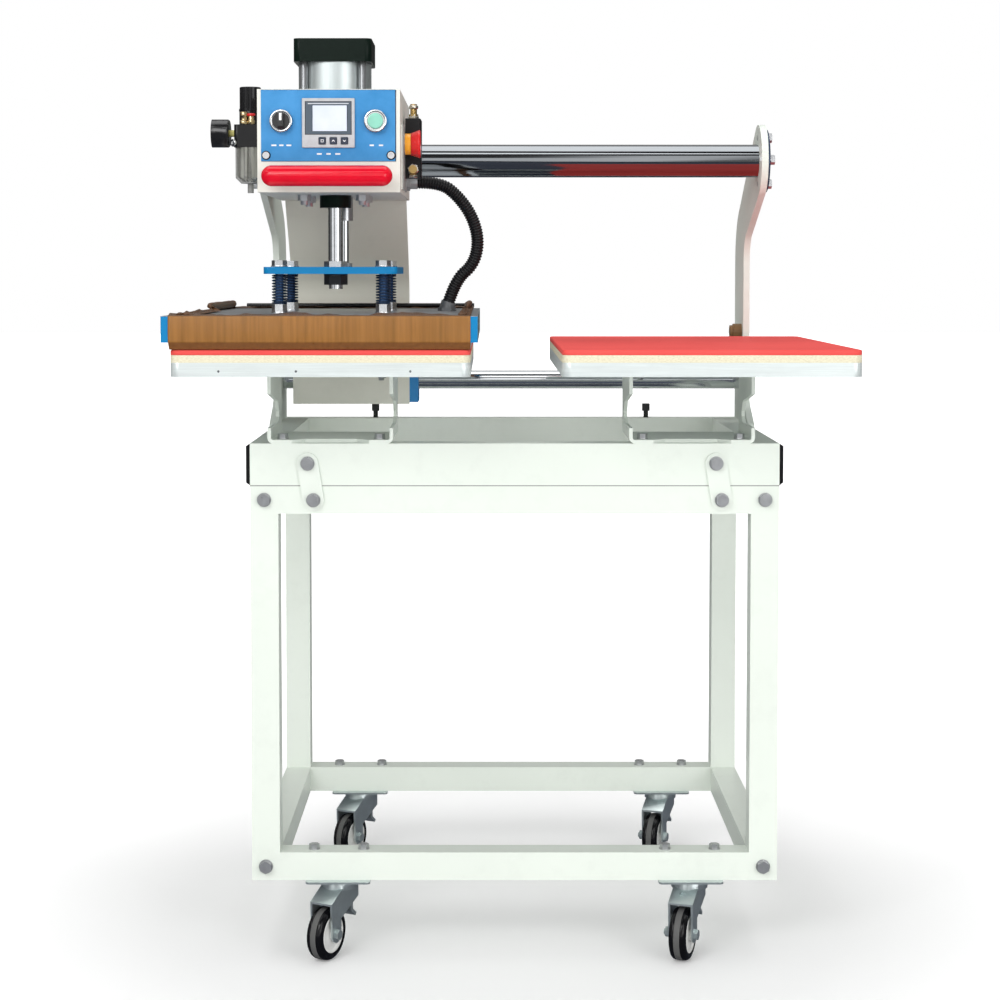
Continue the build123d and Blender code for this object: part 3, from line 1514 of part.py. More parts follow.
# Caster plates under the bottom rails, each with its kingpin
z_plate = caster_height - caster_plate_thick
z_race = z_plate - body_gap
z_crown = z_race - race_height
with BuildPart() as caster_plates:
    with BuildSketch(Plane.XY.offset(z_plate)):
        with Locations(*[(x, y) for x, y, turn in caster_spots.values()]):
            RectangleRounded(caster_plate_width, caster_plate_depth, caster_plate_corner)
        with Locations(*caster_bolts):
            Circle(small_bolt_diameter / 2 + hole_gap, mode=Mode.SUBTRACT)
    extrude(amount=caster_plate_thick)
    for x, y, turn in caster_spots.values():
        kingpin_low = z_crown - fork_thick - body_gap
        rod((x, y, kingpin_low), UP, kingpin_diameter, z_plate - kingpin_low)
        rod((x, y, kingpin_low), DOWN, kingpin_head_diameter, kingpin_head)
finish(caster_plates, "caster_plates")

# A caster in its own frame: swivel axis along Z, wheel trailing towards -Y, axle along X
wheel_radius = wheel_diameter / 2
fork_outer = fork_gap / 2 + fork_thick
axle_spot = (-caster_trail, wheel_radius)
crown_line = [
    (-caster_trail - fork_skirt, z_crown - fork_drop),
    (-caster_trail + fork_skirt, z_crown),
    (fork_nose, z_crown),
]
with BuildPart() as caster_fork:
    rod((0, 0, z_crown - fork_thick), UP, swivel_diameter, race_height + fork_thick)
    with BuildSketch(Plane.YZ.offset(-fork_outer)):
        with BuildLine():
            Polyline(*crown_line, *[(y, z - fork_thick) for y, z in reversed(crown_line)], close=True)
        make_face()
    extrude(amount=2 * fork_outer)
    for inner_x in (-fork_outer, fork_gap / 2):
        with BuildSketch(Plane.YZ.offset(inner_x)):
            with BuildLine():
                Polyline(
                    (-caster_trail - fork_cheek, wheel_radius),
                    *crown_line,
                    (fork_nose, z_crown - fork_front_drop),
                    (-caster_trail + fork_cheek, z_crown - fork_waist_drop),
                    (-caster_trail + fork_cheek, wheel_radius),
                )
                RadiusArc(
                    (-caster_trail + fork_cheek, wheel_radius),
                    (-caster_trail - fork_cheek, wheel_radius),
                    fork_cheek,
                )
            make_face()
        extrude(amount=fork_thick)
    axle_start = (-fork_outer - axle_nut - axle_tail, -caster_trail, wheel_radius)
    rod(axle_start, RIGHT, axle_diameter, 2 * fork_outer + axle_nut + axle_tail)
    hexagon((-fork_outer, -caster_trail, wheel_radius), LEFT, axle_flats, axle_nut)
    hexagon((fork_outer, -caster_trail, wheel_radius), RIGHT, axle_flats, axle_nut - axle_tail)
    rod((-fork_outer, lever_pin_forward, lever_pin_height), RIGHT, lever_pin, 2 * fork_outer)
    kingpin_hole = kingpin_diameter + 2 * run_gap
    rod((0, 0, z_crown - fork_thick), UP, kingpin_hole, race_height + fork_thick, mode=Mode.SUBTRACT)

hub_reach = fork_gap / 2 - body_gap
tyre_inner = wheel_radius - tyre_wall
wheel_spot = (0, -caster_trail, wheel_radius)
with BuildPart() as caster_wheel:
    tyre_outline = [
        (tyre_inner, -wheel_width / 2),
        (wheel_radius - tyre_shoulder, -wheel_width / 2),
        (wheel_radius, -wheel_width / 2 + tyre_shoulder),
        (wheel_radius, wheel_width / 2 - tyre_shoulder),
        (wheel_radius - tyre_shoulder, wheel_width / 2),
        (tyre_inner, wheel_width / 2),
    ]
    turned(wheel_spot, RIGHT, tyre_outline)
    hub_outline = [
        (axle_diameter / 2 + run_gap, -hub_reach),
        (hub_boss_diameter / 2, -hub_reach),
        (hub_boss_diameter / 2, -hub_web / 2),
        (hub_rim, -hub_web / 2),
        (tyre_inner, -wheel_width / 2 + body_gap),
        (tyre_inner, wheel_width / 2 - body_gap),
        (hub_rim, hub_web / 2),
        (hub_boss_diameter / 2, hub_web / 2),
        (hub_boss_diameter / 2, hub_reach),
        (axle_diameter / 2 + run_gap, hub_reach),
    ]
    turned(wheel_spot, RIGHT, hub_outline)

with BuildPart() as caster_brake:
    pin_y = lever_pin_forward
    pin_z = lever_pin_height
    with BuildSketch(Plane.YZ.offset(-lever_width / 2)):
        with BuildLine():
            Polyline(
                (pin_y - lever_thick / 2, pin_z),
                (pin_y + lever_thick / 2, pin_z),
                (pin_y + lever_thick / 2 + lever_bend, pin_z - lever_drop),
                (pin_y + lever_toe_reach, pin_z - lever_toe_drop),
                (pin_y + lever_tip_reach, pin_z - lever_tip_drop),
                (pin_y - lever_thick / 2 + lever_bend, pin_z - lever_back_drop),
                close=True,
            )
        make_face()
        with Locations((pin_y, pin_z)):
            Circle(lever_boss / 2)
            Circle(lever_pin / 2 + run_gap, mode=Mode.SUBTRACT)
    extrude(amount=lever_width)

for spot_name, (x, y, turn) in caster_spots.items():
    place = Location((x, y, 0), (0, 0, turn))
    for kind, builder in (("fork", caster_fork), ("wheel", caster_wheel), ("brake", caster_brake)):
        piece = builder.part.moved(place)
        piece.label = f"caster_{kind}_{spot_name}"
        export_step(piece, f"parts/{piece.label}.step")
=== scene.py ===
import math

import bmesh
import bpy
from mathutils import Matrix, Vector, noise


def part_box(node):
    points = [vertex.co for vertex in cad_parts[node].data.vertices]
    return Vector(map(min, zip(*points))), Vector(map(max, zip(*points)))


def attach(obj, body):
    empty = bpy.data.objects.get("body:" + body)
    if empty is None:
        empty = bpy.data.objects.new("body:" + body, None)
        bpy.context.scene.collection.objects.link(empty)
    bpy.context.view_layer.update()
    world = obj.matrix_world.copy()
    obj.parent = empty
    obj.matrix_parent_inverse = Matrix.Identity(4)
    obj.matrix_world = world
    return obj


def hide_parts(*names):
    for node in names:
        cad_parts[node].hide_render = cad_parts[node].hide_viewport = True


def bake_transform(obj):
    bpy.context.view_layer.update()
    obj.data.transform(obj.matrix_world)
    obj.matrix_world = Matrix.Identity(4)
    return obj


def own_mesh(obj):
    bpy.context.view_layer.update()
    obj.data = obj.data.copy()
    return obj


# Dual station pneumatic heat press, dressed in Blender over its CAD frame. Metres.
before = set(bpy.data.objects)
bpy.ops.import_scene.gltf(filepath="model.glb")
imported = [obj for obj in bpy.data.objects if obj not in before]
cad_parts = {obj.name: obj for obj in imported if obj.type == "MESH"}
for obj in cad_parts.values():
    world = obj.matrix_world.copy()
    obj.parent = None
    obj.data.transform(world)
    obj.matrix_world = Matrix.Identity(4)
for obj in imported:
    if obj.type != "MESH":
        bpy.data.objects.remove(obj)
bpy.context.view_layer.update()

MM = 0.001
MICRON = 0.000001
ALONG_X, ALONG_Z = (1, 0, 0), (0, 0, 1)
TO_THE_LEFT, TO_THE_FRONT = (-1, 0, 0), (0, -1, 0)


def span(node):
    """A CAD node's lowest and highest corner, as vectors."""
    low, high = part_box(node)
    return Vector(low), Vector(high)


def middle(node):
    """The middle of a CAD node's box."""
    low, high = span(node)
    return (low + high) / 2


# Places read from the frame
head_top = span("head_case")[1].z
head_bottom = span("head_case")[0].z
head_x = middle("head_case").x
cover_low, cover_high = span("platen_cover")
cloth_low, cloth_high = span("cloth_cover")
pads_low, pads_high = span("silicone_pads")
platens_low, platens_high = span("lower_platens")
panel_low, panel_high = span("control_panel")
gauge_low, gauge_high = span("pressure_gauge")
dial = middle("pressure_gauge")
bowl_low = span("regulator_bowl")[0]
bowl = middle("regulator_bowl")
controller_front = span("controller_case")[0].y
controller = middle("controller_case")
knob = middle("selector_knob")
press_x = middle("cylinder_barrel").x
press_y = middle("cylinder_barrel").y


def new_object(name, data):
    """An object in the scene."""
    made = bpy.data.objects.new(name, data)
    bpy.context.scene.collection.objects.link(made)
    return made


# Camera: the photograph's place and lens, looking a little down
PHOTO_SIDE = 1000
FOCAL_PIXELS = 2117
SENSOR = 36
LENS_SHIFT = (0.0113, -0.123)
CAMERA_PLACE = (-0.0318, -3.1787, 0.9797)
CAMERA_TILT = 0.05
camera_data = bpy.data.cameras.new("camera")
camera_data.sensor_width = SENSOR
camera_data.lens = FOCAL_PIXELS / PHOTO_SIDE * SENSOR
camera_data.shift_x, camera_data.shift_y = LENS_SHIFT
camera = new_object("camera", camera_data)
camera.location = CAMERA_PLACE
camera.rotation_euler = (math.pi / 2 - CAMERA_TILT, 0, 0)
bpy.context.scene.camera = camera
bpy.context.scene.view_settings.view_transform = "Standard"


# Shader maths
class Signal:
    """One socket of a node tree, on which ordinary arithmetic adds the nodes that it needs."""

    def __init__(self, board, socket):
        self.board = board
        self.socket = socket

    def _math(self, operation, *values):
        return self.board.node("ShaderNodeMath", {"operation": operation}, *values)

    def _pair(operation):
        return lambda self, other: self._math(operation, self, other)

    __add__ = __radd__ = _pair("ADD")
    __mul__ = __rmul__ = _pair("MULTIPLY")
    __sub__ = _pair("SUBTRACT")
    __rsub__ = lambda self, other: self._math("SUBTRACT", other, self)
    __truediv__ = _pair("DIVIDE")
    __gt__ = _pair("GREATER_THAN")
    __lt__ = _pair("LESS_THAN")
    both = _pair("MINIMUM")
    either = _pair("MAXIMUM")

    def sine(self):
        return self._math("SINE", self)

    def size(self):
        return self._math("ABSOLUTE", self)

    def between(self, low, high):
        """1 between two values, 0 outside."""
        return (self > low).both(self < high)

    def clipped(self, low, high):
        """0 at low, 1 at high, straight between, clamped outside."""
        values = {"From Min": low, "From Max": high}
        return self.board.node("ShaderNodeMapRange", {"clamp": True}, self, **values)

    def named(self, name):
        """Another output of the same node."""
        return Signal(self.board, self.socket.node.outputs[name])


class Board:
    """A node tree under construction. Subclasses say what it makes."""

    def _fill(self, socket, value):
        if isinstance(value, Signal):
            self.tree.links.new(value.socket, socket)
        else:
            socket.default_value = value

    def node(self, kind, settings, *values, out=0, **named):
        """Adds any node: its settings first, then its sockets' values or links."""
        made = self.tree.nodes.new(kind)
        for key, value in settings.items():
            setattr(made, key, value)
        for socket, value in zip(made.inputs, values):
            self._fill(socket, value)
        for key, value in named.items():
            self._fill(made.inputs[key.replace("_", " ")], value)
        return Signal(self, made.outputs[out])


class Paint(Board):
    """A material under construction: its tree, its shader and the usual patterns."""

    def __init__(self, name, color, roughness, metallic=0.0, **constants):
        self.material = bpy.data.materials.new(name)
        self.material.use_nodes = True
        self.tree = self.material.node_tree
        self.tree.nodes.clear()
        self.shader = self.tree.nodes.new("ShaderNodeBsdfPrincipled")
        output = self.tree.nodes.new("ShaderNodeOutputMaterial")
        self.tree.links.new(self.shader.outputs[0], output.inputs["Surface"])
        self.place = self.node("ShaderNodeTexCoord", {}, out="Object")
        self.set("Base Color", (*color, 1))
        self.set("Roughness", roughness)
        self.set("Metallic", metallic)
        for socket, value in constants.items():
            self.set(socket.replace("_", " "), value)

    def set(self, socket, value):
        """Gives a shader's socket a value or a link."""
        self._fill(self.shader.inputs[socket], value)

    def held(self, socket):
        """What a shader's socket holds: a link or a value."""
        target = self.shader.inputs[socket]
        return Signal(self, target.links[0].from_socket) if target.is_linked else target.default_value

    def _axis(index):
        return property(lambda self: self.node("ShaderNodeSeparateXYZ", {}, self.place, out=index))

    # The coordinates of the object's own space
    x, y, z = _axis(0), _axis(1), _axis(2)

    def stretched(self, x, y, z):
        """Object coordinates scaled by axis, for grain that runs one way."""
        scaled = {"operation": "MULTIPLY"}
        return self.node("ShaderNodeVectorMath", scaled, self.place, (x, y, z))

    def noise(self, scale, detail=2.0, where=None, rough=0.5):
        """Noise from 0 to 1."""
        named = {"Vector": where or self.place, "Scale": scale, "Detail": detail, "Roughness": rough}
        return self.node("ShaderNodeTexNoise", {}, **named)

    def mix(self, factor, first, second):
        """A blend of two colours."""
        made = self.tree.nodes.new("ShaderNodeMix")
        made.data_type = "RGBA"
        self._fill(made.inputs["Factor"], factor)
        for socket, value in ((made.inputs[6], first), (made.inputs[7], second)):
            shade = value if isinstance(value, Signal) or len(value) == 4 else (*value, 1)
            self._fill(socket, shade)
        return Signal(self, made.outputs[2])

    def tones(self, factor, first, second):
        """Blends two colours into the base colour."""
        self.set("Base Color", self.mix(factor, first, second))

    def bump(self, height, distance, strength=1.0):
        """Feeds a height in metres of the given size to the shader's normal."""
        named = {"Height": height, "Distance": distance, "Strength": strength}
        self.set("Normal", self.node("ShaderNodeBump", {}, **named))


def varied(paint, color, amount, scale):
    """The colour, a little lighter and darker in soft patches."""
    darker = tuple(c * (1 - amount) for c in color)
    lighter = tuple(min(1, c * (1 + amount)) for c in color)
    return paint.mix(paint.noise(scale, 3).clipped(0.3, 0.7), darker, lighter)


def powder_coat(name, color, roughness=0.36, peel=1.0):
    """Powder coated steel: orange peel, patches of sheen, a little dust."""
    coat = {"Specular_IOR_Level": 0.35, "Coat_Weight": 0.1, "Coat_Roughness": 0.12}
    paint = Paint(name, color, roughness, **coat)
    shade = varied(paint, color, 0.03, 3.5)
    dust = paint.noise(28, 4, rough=0.65).clipped(0.52, 0.74) * 0.22
    dusty = tuple(c * 0.82 for c in color)
    paint.tones(dust, shade, dusty)
    paint.set("Roughness", roughness + paint.noise(9, 3) * 0.14)
    paint.bump(paint.noise(420, 2), 120 * MICRON * peel, 0.35)
    return paint


def finished(name, color, roughness, metallic=0.0, grain=40, microns=50, **constants):
    """A plain finish with fine grain of one scale or one per axis: plastic, cast or machined metal."""
    paint = Paint(name, color, roughness, metallic, **constants)
    scales = grain if isinstance(grain, tuple) else (grain,) * 3
    pattern = paint.noise(14, 4, where=paint.stretched(*scales), rough=0.6)
    darker = tuple(c * 0.86 for c in color)
    paint.tones(pattern.clipped(0.3, 0.7), darker, color)
    paint.set("Roughness", roughness * 0.8 + pattern * roughness * 0.4)
    paint.bump(pattern, microns * MICRON, 0.5)
    return paint


# One material for a CAD node of two finishes, told apart by place
def masked(paint, mask, color, roughness=None, metallic=None):
    """Paints a second finish over a material where the mask is 1."""
    paint.tones(mask, paint.held("Base Color"), color)
    for socket, value in (("Roughness", roughness), ("Metallic", metallic)):
        if value is not None:
            under = paint.held(socket)
            paint.set(socket, mask * (value - under) + under)


def window(paint, half, low, high):
    """1 in a part of the controller's face: half a width, and two heights from its middle, in mm."""
    across = (paint.x - controller.x).size() < half * MM
    return across.both(paint.z.between(controller.z + low * MM, controller.z + high * MM))


# Finishes of this machine
FRAME_WHITE = (0.725, 0.775, 0.71)
BRIGHT_BLUE = (0.001, 0.19, 0.44)
ZINC = (0.64, 0.71, 0.71)
SEAM_SHADOW_HALF = 0.7 * MM
TAPPED = (0.065, 0.168, 0.320)
TAPPED_DEPTH = 11.5 * MM
TAPPED_RADIUS_SQUARED = 2.6 * MM * MM

frame_paint = powder_coat("frame_paint", FRAME_WHITE)
link_paint = powder_coat("link_paint", FRAME_WHITE)
# Painted gap shadow: a thin dark grey line along the seam where the stand meets the base rails; the link
# plates, which cross it, have their own paint without it.
seam_shadow = (frame_paint.z - span("base_rails")[0].z).size() < SEAM_SHADOW_HALF
masked(frame_paint, seam_shadow, (0.24, 0.25, 0.23), 0.6)
beige_paint = powder_coat("beige_paint", (0.70, 0.70, 0.62), 0.42)
spring_plate_paint = powder_coat("spring_plate_paint", BRIGHT_BLUE, 0.34)
spring_plate_paint.set("Specular IOR Level", 0.15)
zinc = finished("zinc_plating", ZINC, 0.3, 0.85, 3, 80)
bright_zinc = finished("bright_zinc", (0.70, 0.71, 0.72), 0.24, 1.0, 2, 120)
chrome_shaft = finished("chromed_shaft", (0.66, 0.68, 0.70), 0.10, 1.0, (0.4, 12, 12), 10)
milled = finished("milled_aluminium", (0.74, 0.80, 0.79), 0.36, 0.35, (0.6, 0.6, 22), 60)
smudges = milled.noise(16, 4, where=milled.stretched(1, 1, 2.5), rough=0.7).clipped(0.5, 0.72)
masked(milled, smudges * 0.5, (0.62, 0.67, 0.66), 0.42)
# Painted shade of three tapped holes: dark discs on the platens' front faces where the holes stand.
for offset in TAPPED:
    away_x = milled.x - (platens_low.x + offset)
    away_z = milled.z - (platens_high.z - TAPPED_DEPTH)
    hole_shade = away_x * away_x + away_z * away_z < TAPPED_RADIUS_SQUARED
    masked(milled, hole_shade.both(milled.y < platens_low.y + 0.4 * MM), (0.09, 0.10, 0.11), 0.5)
barrel_skin = finished("drawn_aluminium", (0.55, 0.60, 0.60), 0.34, 0.75, (9, 9, 0.6), 30)
black_plastic = finished("black_plastic", (0.010, 0.010, 0.011), 0.36, 0.0, 30, 50, Specular_IOR_Level=0.25)
black_gloss = finished("black_gloss", (0.006, 0.006, 0.007), 0.14, 0.0, 6, 20, Specular_IOR_Level=0.3)
black_cast = finished("black_cast", (0.004, 0.010, 0.007), 0.3, 0.0, 9, 150, Specular_IOR_Level=0.1)
brass = finished("turned_brass", (0.56, 0.44, 0.25), 0.2, 1.0, (1, 1, 3), 10)
handle_red = finished("handle_red", (0.70, 0.005, 0.022), 0.09, 0.0, 3, 80, Specular_IOR_Level=0.35)
stop_red = finished("stop_red", (0.70, 0.010, 0.012), 0.26, 0.0, 1, 10, Coat_Weight=0.2)
button_green = finished("button_green", (0.24, 0.62, 0.48), 0.2, 0.0, 4, 10, Coat_Weight=0.6)
buffer_rubber = finished("buffer_rubber", (0.17, 0.09, 0.03), 0.55, 0.0, 8, 200)
tread_grey = finished("tread_grey", (0.10, 0.10, 0.098), 0.6, 0.0, 14, 400)
tyre_black = finished("tyre_black", (0.004, 0.004, 0.005), 0.16, 0.0, 4, 100, Specular_IOR_Level=0.25)
hub_white = finished("hub_white", (0.72, 0.72, 0.70), 0.34, 0.0, 5, 60)
mark_white = finished("mark_white", (0.85, 0.87, 0.88), 0.5, 0.0, 5, 10)


def dress(paint, *nodes):
    """Gives CAD nodes a finish."""
    for node in nodes:
        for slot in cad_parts[node].material_slots:
            slot.material = paint.material


def edge_bevel(piece, width, angle=35):
    """Rounds the edges of a piece that are sharper than an angle."""
    bevel = piece.modifiers.new("round", "BEVEL")
    bevel.width = width
    bevel.segments = 2
    bevel.limit_method = "ANGLE"
    bevel.angle_limit = math.radians(angle)
    return bevel


def soften(width, *nodes):
    """Rounds the sharp edges of CAD nodes, which catch the light on the real machine."""
    for node in nodes:
        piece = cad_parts[node]
        piece.modifiers.new("weld", "WELD").merge_threshold = 0.00001
        edge_bevel(piece, width, 40).harden_normals = True


# Geometry Nodes
class Shape(Board):
    """A geometry tree with named sizes, which becomes one plain mesh."""

    def __init__(self, name, **sizes):
        self.name = name
        self.sizes = sizes
        self.tree = bpy.data.node_groups.new(name, "GeometryNodeTree")
        self.tree.interface.new_socket("Geometry", in_out="INPUT", socket_type="NodeSocketGeometry")
        for label, value in sizes.items():
            kind = "NodeSocketInt" if isinstance(value, int) else "NodeSocketFloat"
            self.tree.interface.new_socket(label, in_out="INPUT", socket_type=kind)
        self.tree.interface.new_socket("Geometry", in_out="OUTPUT", socket_type="NodeSocketGeometry")
        self.entry = self.tree.nodes.new("NodeGroupInput")
        self.start = Signal(self, self.entry.outputs["Geometry"])

    def size(self, label):
        return Signal(self, self.entry.outputs[label])

    def vector(self, x=0.0, y=0.0, z=0.0):
        return self.node("ShaderNodeCombineXYZ", {}, x, y, z)

    def made_from(self, mesh, geometry, paint):
        """Runs the tree on a mesh and returns the result as a plain object."""
        whole = self.node("GeometryNodeRealizeInstances", {}, geometry)
        dressed = self.node("GeometryNodeSetMaterial", {}, whole, Material=paint.material)
        exit_node = self.tree.nodes.new("NodeGroupOutput")
        self.tree.links.new(dressed.socket, exit_node.inputs["Geometry"])
        carrier = new_object(self.name + "_carrier", mesh)
        modifier = carrier.modifiers.new("shape", "NODES")
        modifier.node_group = self.tree
        for item in self.tree.interface.items_tree:
            if item.in_out == "INPUT" and item.name in self.sizes:
                modifier[item.identifier] = self.sizes[item.name]
        depsgraph = bpy.context.evaluated_depsgraph_get()
        result = bpy.data.meshes.new_from_object(carrier.evaluated_get(depsgraph))
        carrier.modifiers.remove(modifier)
        bpy.data.objects.remove(carrier)
        return piece_of(self.name, result)


# Meshes
def piece_of(name, mesh, paint=None, smooth=True):
    """An object for a finished mesh, at the origin."""
    piece = new_object(name, mesh)
    if paint and not mesh.materials:
        mesh.materials.append(paint.material)
    for face in mesh.polygons:
        face.use_smooth = smooth
    return piece


def piece_from(name, faces_mesh, paint, smooth=True):
    """An object from bmesh data, with its doubles merged and its faces outwards."""
    bmesh.ops.remove_doubles(faces_mesh, verts=faces_mesh.verts, dist=0.000005)
    bmesh.ops.recalc_face_normals(faces_mesh, faces=faces_mesh.faces)
    mesh = bpy.data.meshes.new(name)
    faces_mesh.to_mesh(mesh)
    faces_mesh.free()
    return piece_of(name, mesh, paint, smooth)


def placed(piece, body, slot_name, *replaced):
    """Rides a piece on a body and hides the nodes it stands for."""
    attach(piece, body)
    if replaced:
        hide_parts(*replaced)
    return piece


def turned(shape, profile, centre, axis, steps=48):
    """Adds to a bmesh a closed outline of (radius, along) in millimetres, turned round an axis."""
    centre, axis = Vector(centre), Vector(axis).normalized()
    side = axis.orthogonal().normalized()
    rings = []
    for step in range(steps):
        out = Matrix.Rotation(2 * math.pi * step / steps, 3, axis) @ side
        rings.append(
            [shape.verts.new(centre + out * (radius * MM) + axis * (along * MM)) for radius, along in profile]
        )
    count = len(profile)
    for step in range(steps):
        here, there = rings[step], rings[(step + 1) % steps]
        for i in range(count):
            j = (i + 1) % count
            if profile[i][0] == 0 and profile[j][0] == 0:
                continue
            shape.faces.new((here[i], here[j], there[j], there[i]))


def turned_piece(name, paint, slot_name, parts, bevel=0.0, smooth=True, body="carriage", replaced=()):
    """A piece made of turned parts, each given as turned() takes it, and its place among the bodies."""
    shape = bmesh.new()
    for part in parts:
        turned(shape, *part)
    piece = piece_from(name, shape, paint, smooth)
    if bevel:
        edge_bevel(piece, bevel)
    return placed(piece, body, slot_name, *replaced)


def skinned(shape, rows):
    """Joins neighbouring rows of vertices with four-sided faces."""
    for here, there in zip(rows, rows[1:]):
        for i in range(len(here) - 1):
            shape.faces.new((here[i], there[i], there[i + 1], here[i + 1]))


def slab(shape, low, high):
    """Adds a box to a bmesh."""
    low, high = Vector(low), Vector(high)
    place = Matrix.Translation((low + high) / 2) @ Matrix.Diagonal((*(high - low), 1))
    bmesh.ops.create_cube(shape, size=1, matrix=place)


def thickened(piece, thickness):
    """Gives a sheet its thickness, half to each side."""
    body = piece.modifiers.new("thickness", "SOLIDIFY")
    body.thickness = thickness
    body.offset = 0


def mesh_of(name, shape):
    """A mesh from bmesh data as it is."""
    mesh = bpy.data.meshes.new(name)
    shape.to_mesh(mesh)
    shape.free()
    return mesh


# Power hose: part.py's own route on one smooth spline
HOSE_ROUTE = [
    (-0.138, -0.0036, 1.112),
    (-0.1035, -0.0036, 1.112),
    (-0.077, -0.0036, 1.091),
    (-0.056, -0.0036, 1.061),
    (-0.0465, -0.0036, 1.025),
    (-0.054, -0.0036, 0.990),
    (-0.08106, -0.0036, 0.96647),
    (-0.09172, -0.0036, 0.93366),
]
HOSE_DIAMETER = 0.019
HOSE_BLACK = (0.007, 0.007, 0.008)
hose_curve = bpy.data.curves.new("hose_route", "CURVE")
hose_curve.dimensions = "3D"
hose_curve.resolution_u = 24
hose_spline = hose_curve.splines.new("NURBS")
hose_spline.points.add(len(HOSE_ROUTE) - 1)
for point, place in zip(hose_spline.points, HOSE_ROUTE):
    point.co = (*place, 1)
hose_spline.order_u = 3
hose_spline.use_endpoint_u = True
hose_object = new_object("hose_route", hose_curve)
hose_line = bpy.data.meshes.new_from_object(hose_object)
bpy.data.objects.remove(hose_object)

hose_black = Paint("hose_black", HOSE_BLACK, 0.3, Specular_IOR_Level=0.3)
hose_black.set("Roughness", hose_black.noise(60, 3) * 0.16 + 0.24)
hose_black.set("Base Color", varied(hose_black, HOSE_BLACK, 0.3, 30))
hose_black.bump(hose_black.noise(300, 2), 80 * MICRON, 0.3)

hose = Shape("power_hose_tube", Ribs=60, Steps=10, Radius=HOSE_DIAMETER / 2, Groove=1.3 * MM)
line = hose.node("GeometryNodeMeshToCurve", {}, hose.start)
steps = hose.size("Ribs") * hose.size("Steps") + 1
line = hose.node("GeometryNodeResampleCurve", {}, line, Count=steps)
along = hose.node("GeometryNodeSplineParameter", {})
wave = (along * hose.size("Ribs") * (2 * math.pi)).sine() * 0.5 + 0.5
radius = hose.size("Radius") - hose.size("Groove") * wave * wave
ring = hose.node("GeometryNodeCurvePrimitiveCircle", {"mode": "RADIUS"}, Resolution=28, Radius=1.0)
tube = hose.node("GeometryNodeCurveToMesh", {}, line, ring, Scale=radius, Fill_Caps=True)
power_hose = hose.made_from(hose_line, tube, hose_black)
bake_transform(power_hose)
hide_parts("power_hose")

# Springs: eleven turns each, with a closed turn at both ends
SPRING_TURNS = 11
SPRING_SEAT = 0.9326
SPRING_TOP = 0.9753
SPRING_WIRE = 2 * MM
SPRING_RADIUS = 9.9 * MM
POST_SPREAD = (0.148, 0.180)
posts = [
    (press_x + side * POST_SPREAD[0] / 2, press_y + end * POST_SPREAD[1] / 2, SPRING_SEAT)
    for side in (-1, 1)
    for end in (-1, 1)
]
post_mesh = bpy.data.meshes.new("posts")
post_mesh.from_pydata(posts, [], [])
spring_steel = finished("spring_steel", (0.02, 0.04, 0.085), 0.28, 0.6, 30, 40)
coil = Shape(
    "platen_spring_coils",
    Turns=float(SPRING_TURNS),
    Height=SPRING_TOP - SPRING_SEAT,
    Wire=SPRING_WIRE,
    Coil=SPRING_RADIUS,
)
turns, thick, reach = coil.size("Turns"), coil.size("Wire"), coil.size("Coil")
spiral = coil.node("GeometryNodeCurveSpiral", {}, 26, turns, reach, reach, 1.0, False)
turn = coil.node("GeometryNodeSplineParameter", {}) * turns
pitch = (coil.size("Height") - thick * 3) / (turns - 2)
free_turns = (turn - 1).either(0).both(turns - 2)
rise = thick * turn.both(1) + pitch * free_turns + thick * (turn - (turns - 1)).either(0) + thick * 0.5
spot = coil.node("ShaderNodeSeparateXYZ", {}, coil.node("GeometryNodeInputPosition", {}))
lifted = coil.vector(spot, spot.named("Y"), rise)
spiral = coil.node("GeometryNodeSetPosition", {}, spiral, Position=lifted)
section = coil.node("GeometryNodeCurvePrimitiveCircle", {"mode": "RADIUS"}, Resolution=10, Radius=thick * 0.5)
wire = coil.node("GeometryNodeCurveToMesh", {}, spiral, section, Fill_Caps=True)
coils = coil.node("GeometryNodeInstanceOnPoints", {}, coil.start, Instance=wire)
springs = coil.made_from(post_mesh, coils, spring_steel)
placed(springs, "heated_platen", "dark_steel", "platen_springs")
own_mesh(springs)

# Finishes of the CAD nodes
CORNERS = ("front_left", "front_right", "rear_left", "rear_right")
dress(frame_paint, "stand_legs", "stand_rails", "base_rails", "platen_brackets", "side_plates")
dress(link_paint, "link_plates")
dress(beige_paint, "back_plate")
dress(black_plastic, "rail_end_caps", "selector_knob", "valve_body")
dress(zinc, "caster_plates")
dress(chrome_shaft, "guide_shaft", "press_rods")
dress(barrel_skin, "cylinder_barrel")
dress(black_cast, "cylinder_heads")
dress(handle_red, "head_handle")
dress(button_green, "green_button")
dress(buffer_rubber, "travel_buffers")
dress(black_gloss, "regulator_knob", "regulator_body")
dress(spring_plate_paint, "spring_plate")
dress(milled, "lower_platens", "heater_plate")
for corner in CORNERS:
    dress(zinc, "caster_fork_" + corner, "caster_brake_" + corner)

# Spring bolts: bright heads and nuts, dark blue shanks inside the springs
bolt_skin = finished("spring_bolts", (0.70, 0.71, 0.72), 0.24, 1.0, 2, 120)
shank = bolt_skin.z.between(SPRING_SEAT + 0.8 * MM, SPRING_TOP)
masked(bolt_skin, shank, (0.02, 0.075, 0.20), 0.35, 0.3)
dress(bolt_skin, "spring_bolts")

# The bolts are zinc plated; the two levelling screws at the back are painted nearly black as painted shade,
# which hides them at the back of the frame.
LEVEL_SCREWS_FROM = 0.335
LEVEL_SCREWS_HEIGHT = (0.7275, 0.78)
deck_screws = finished("frame_screws", (0.52, 0.53, 0.54), 0.3, 0.8, 9, 300)
painted_shade_screws = (deck_screws.y > LEVEL_SCREWS_FROM).both(deck_screws.z.between(*LEVEL_SCREWS_HEIGHT))
masked(deck_screws, painted_shade_screws, (0.02, 0.02, 0.022), 0.4, 0.3)
dress(deck_screws, "frame_bolts")

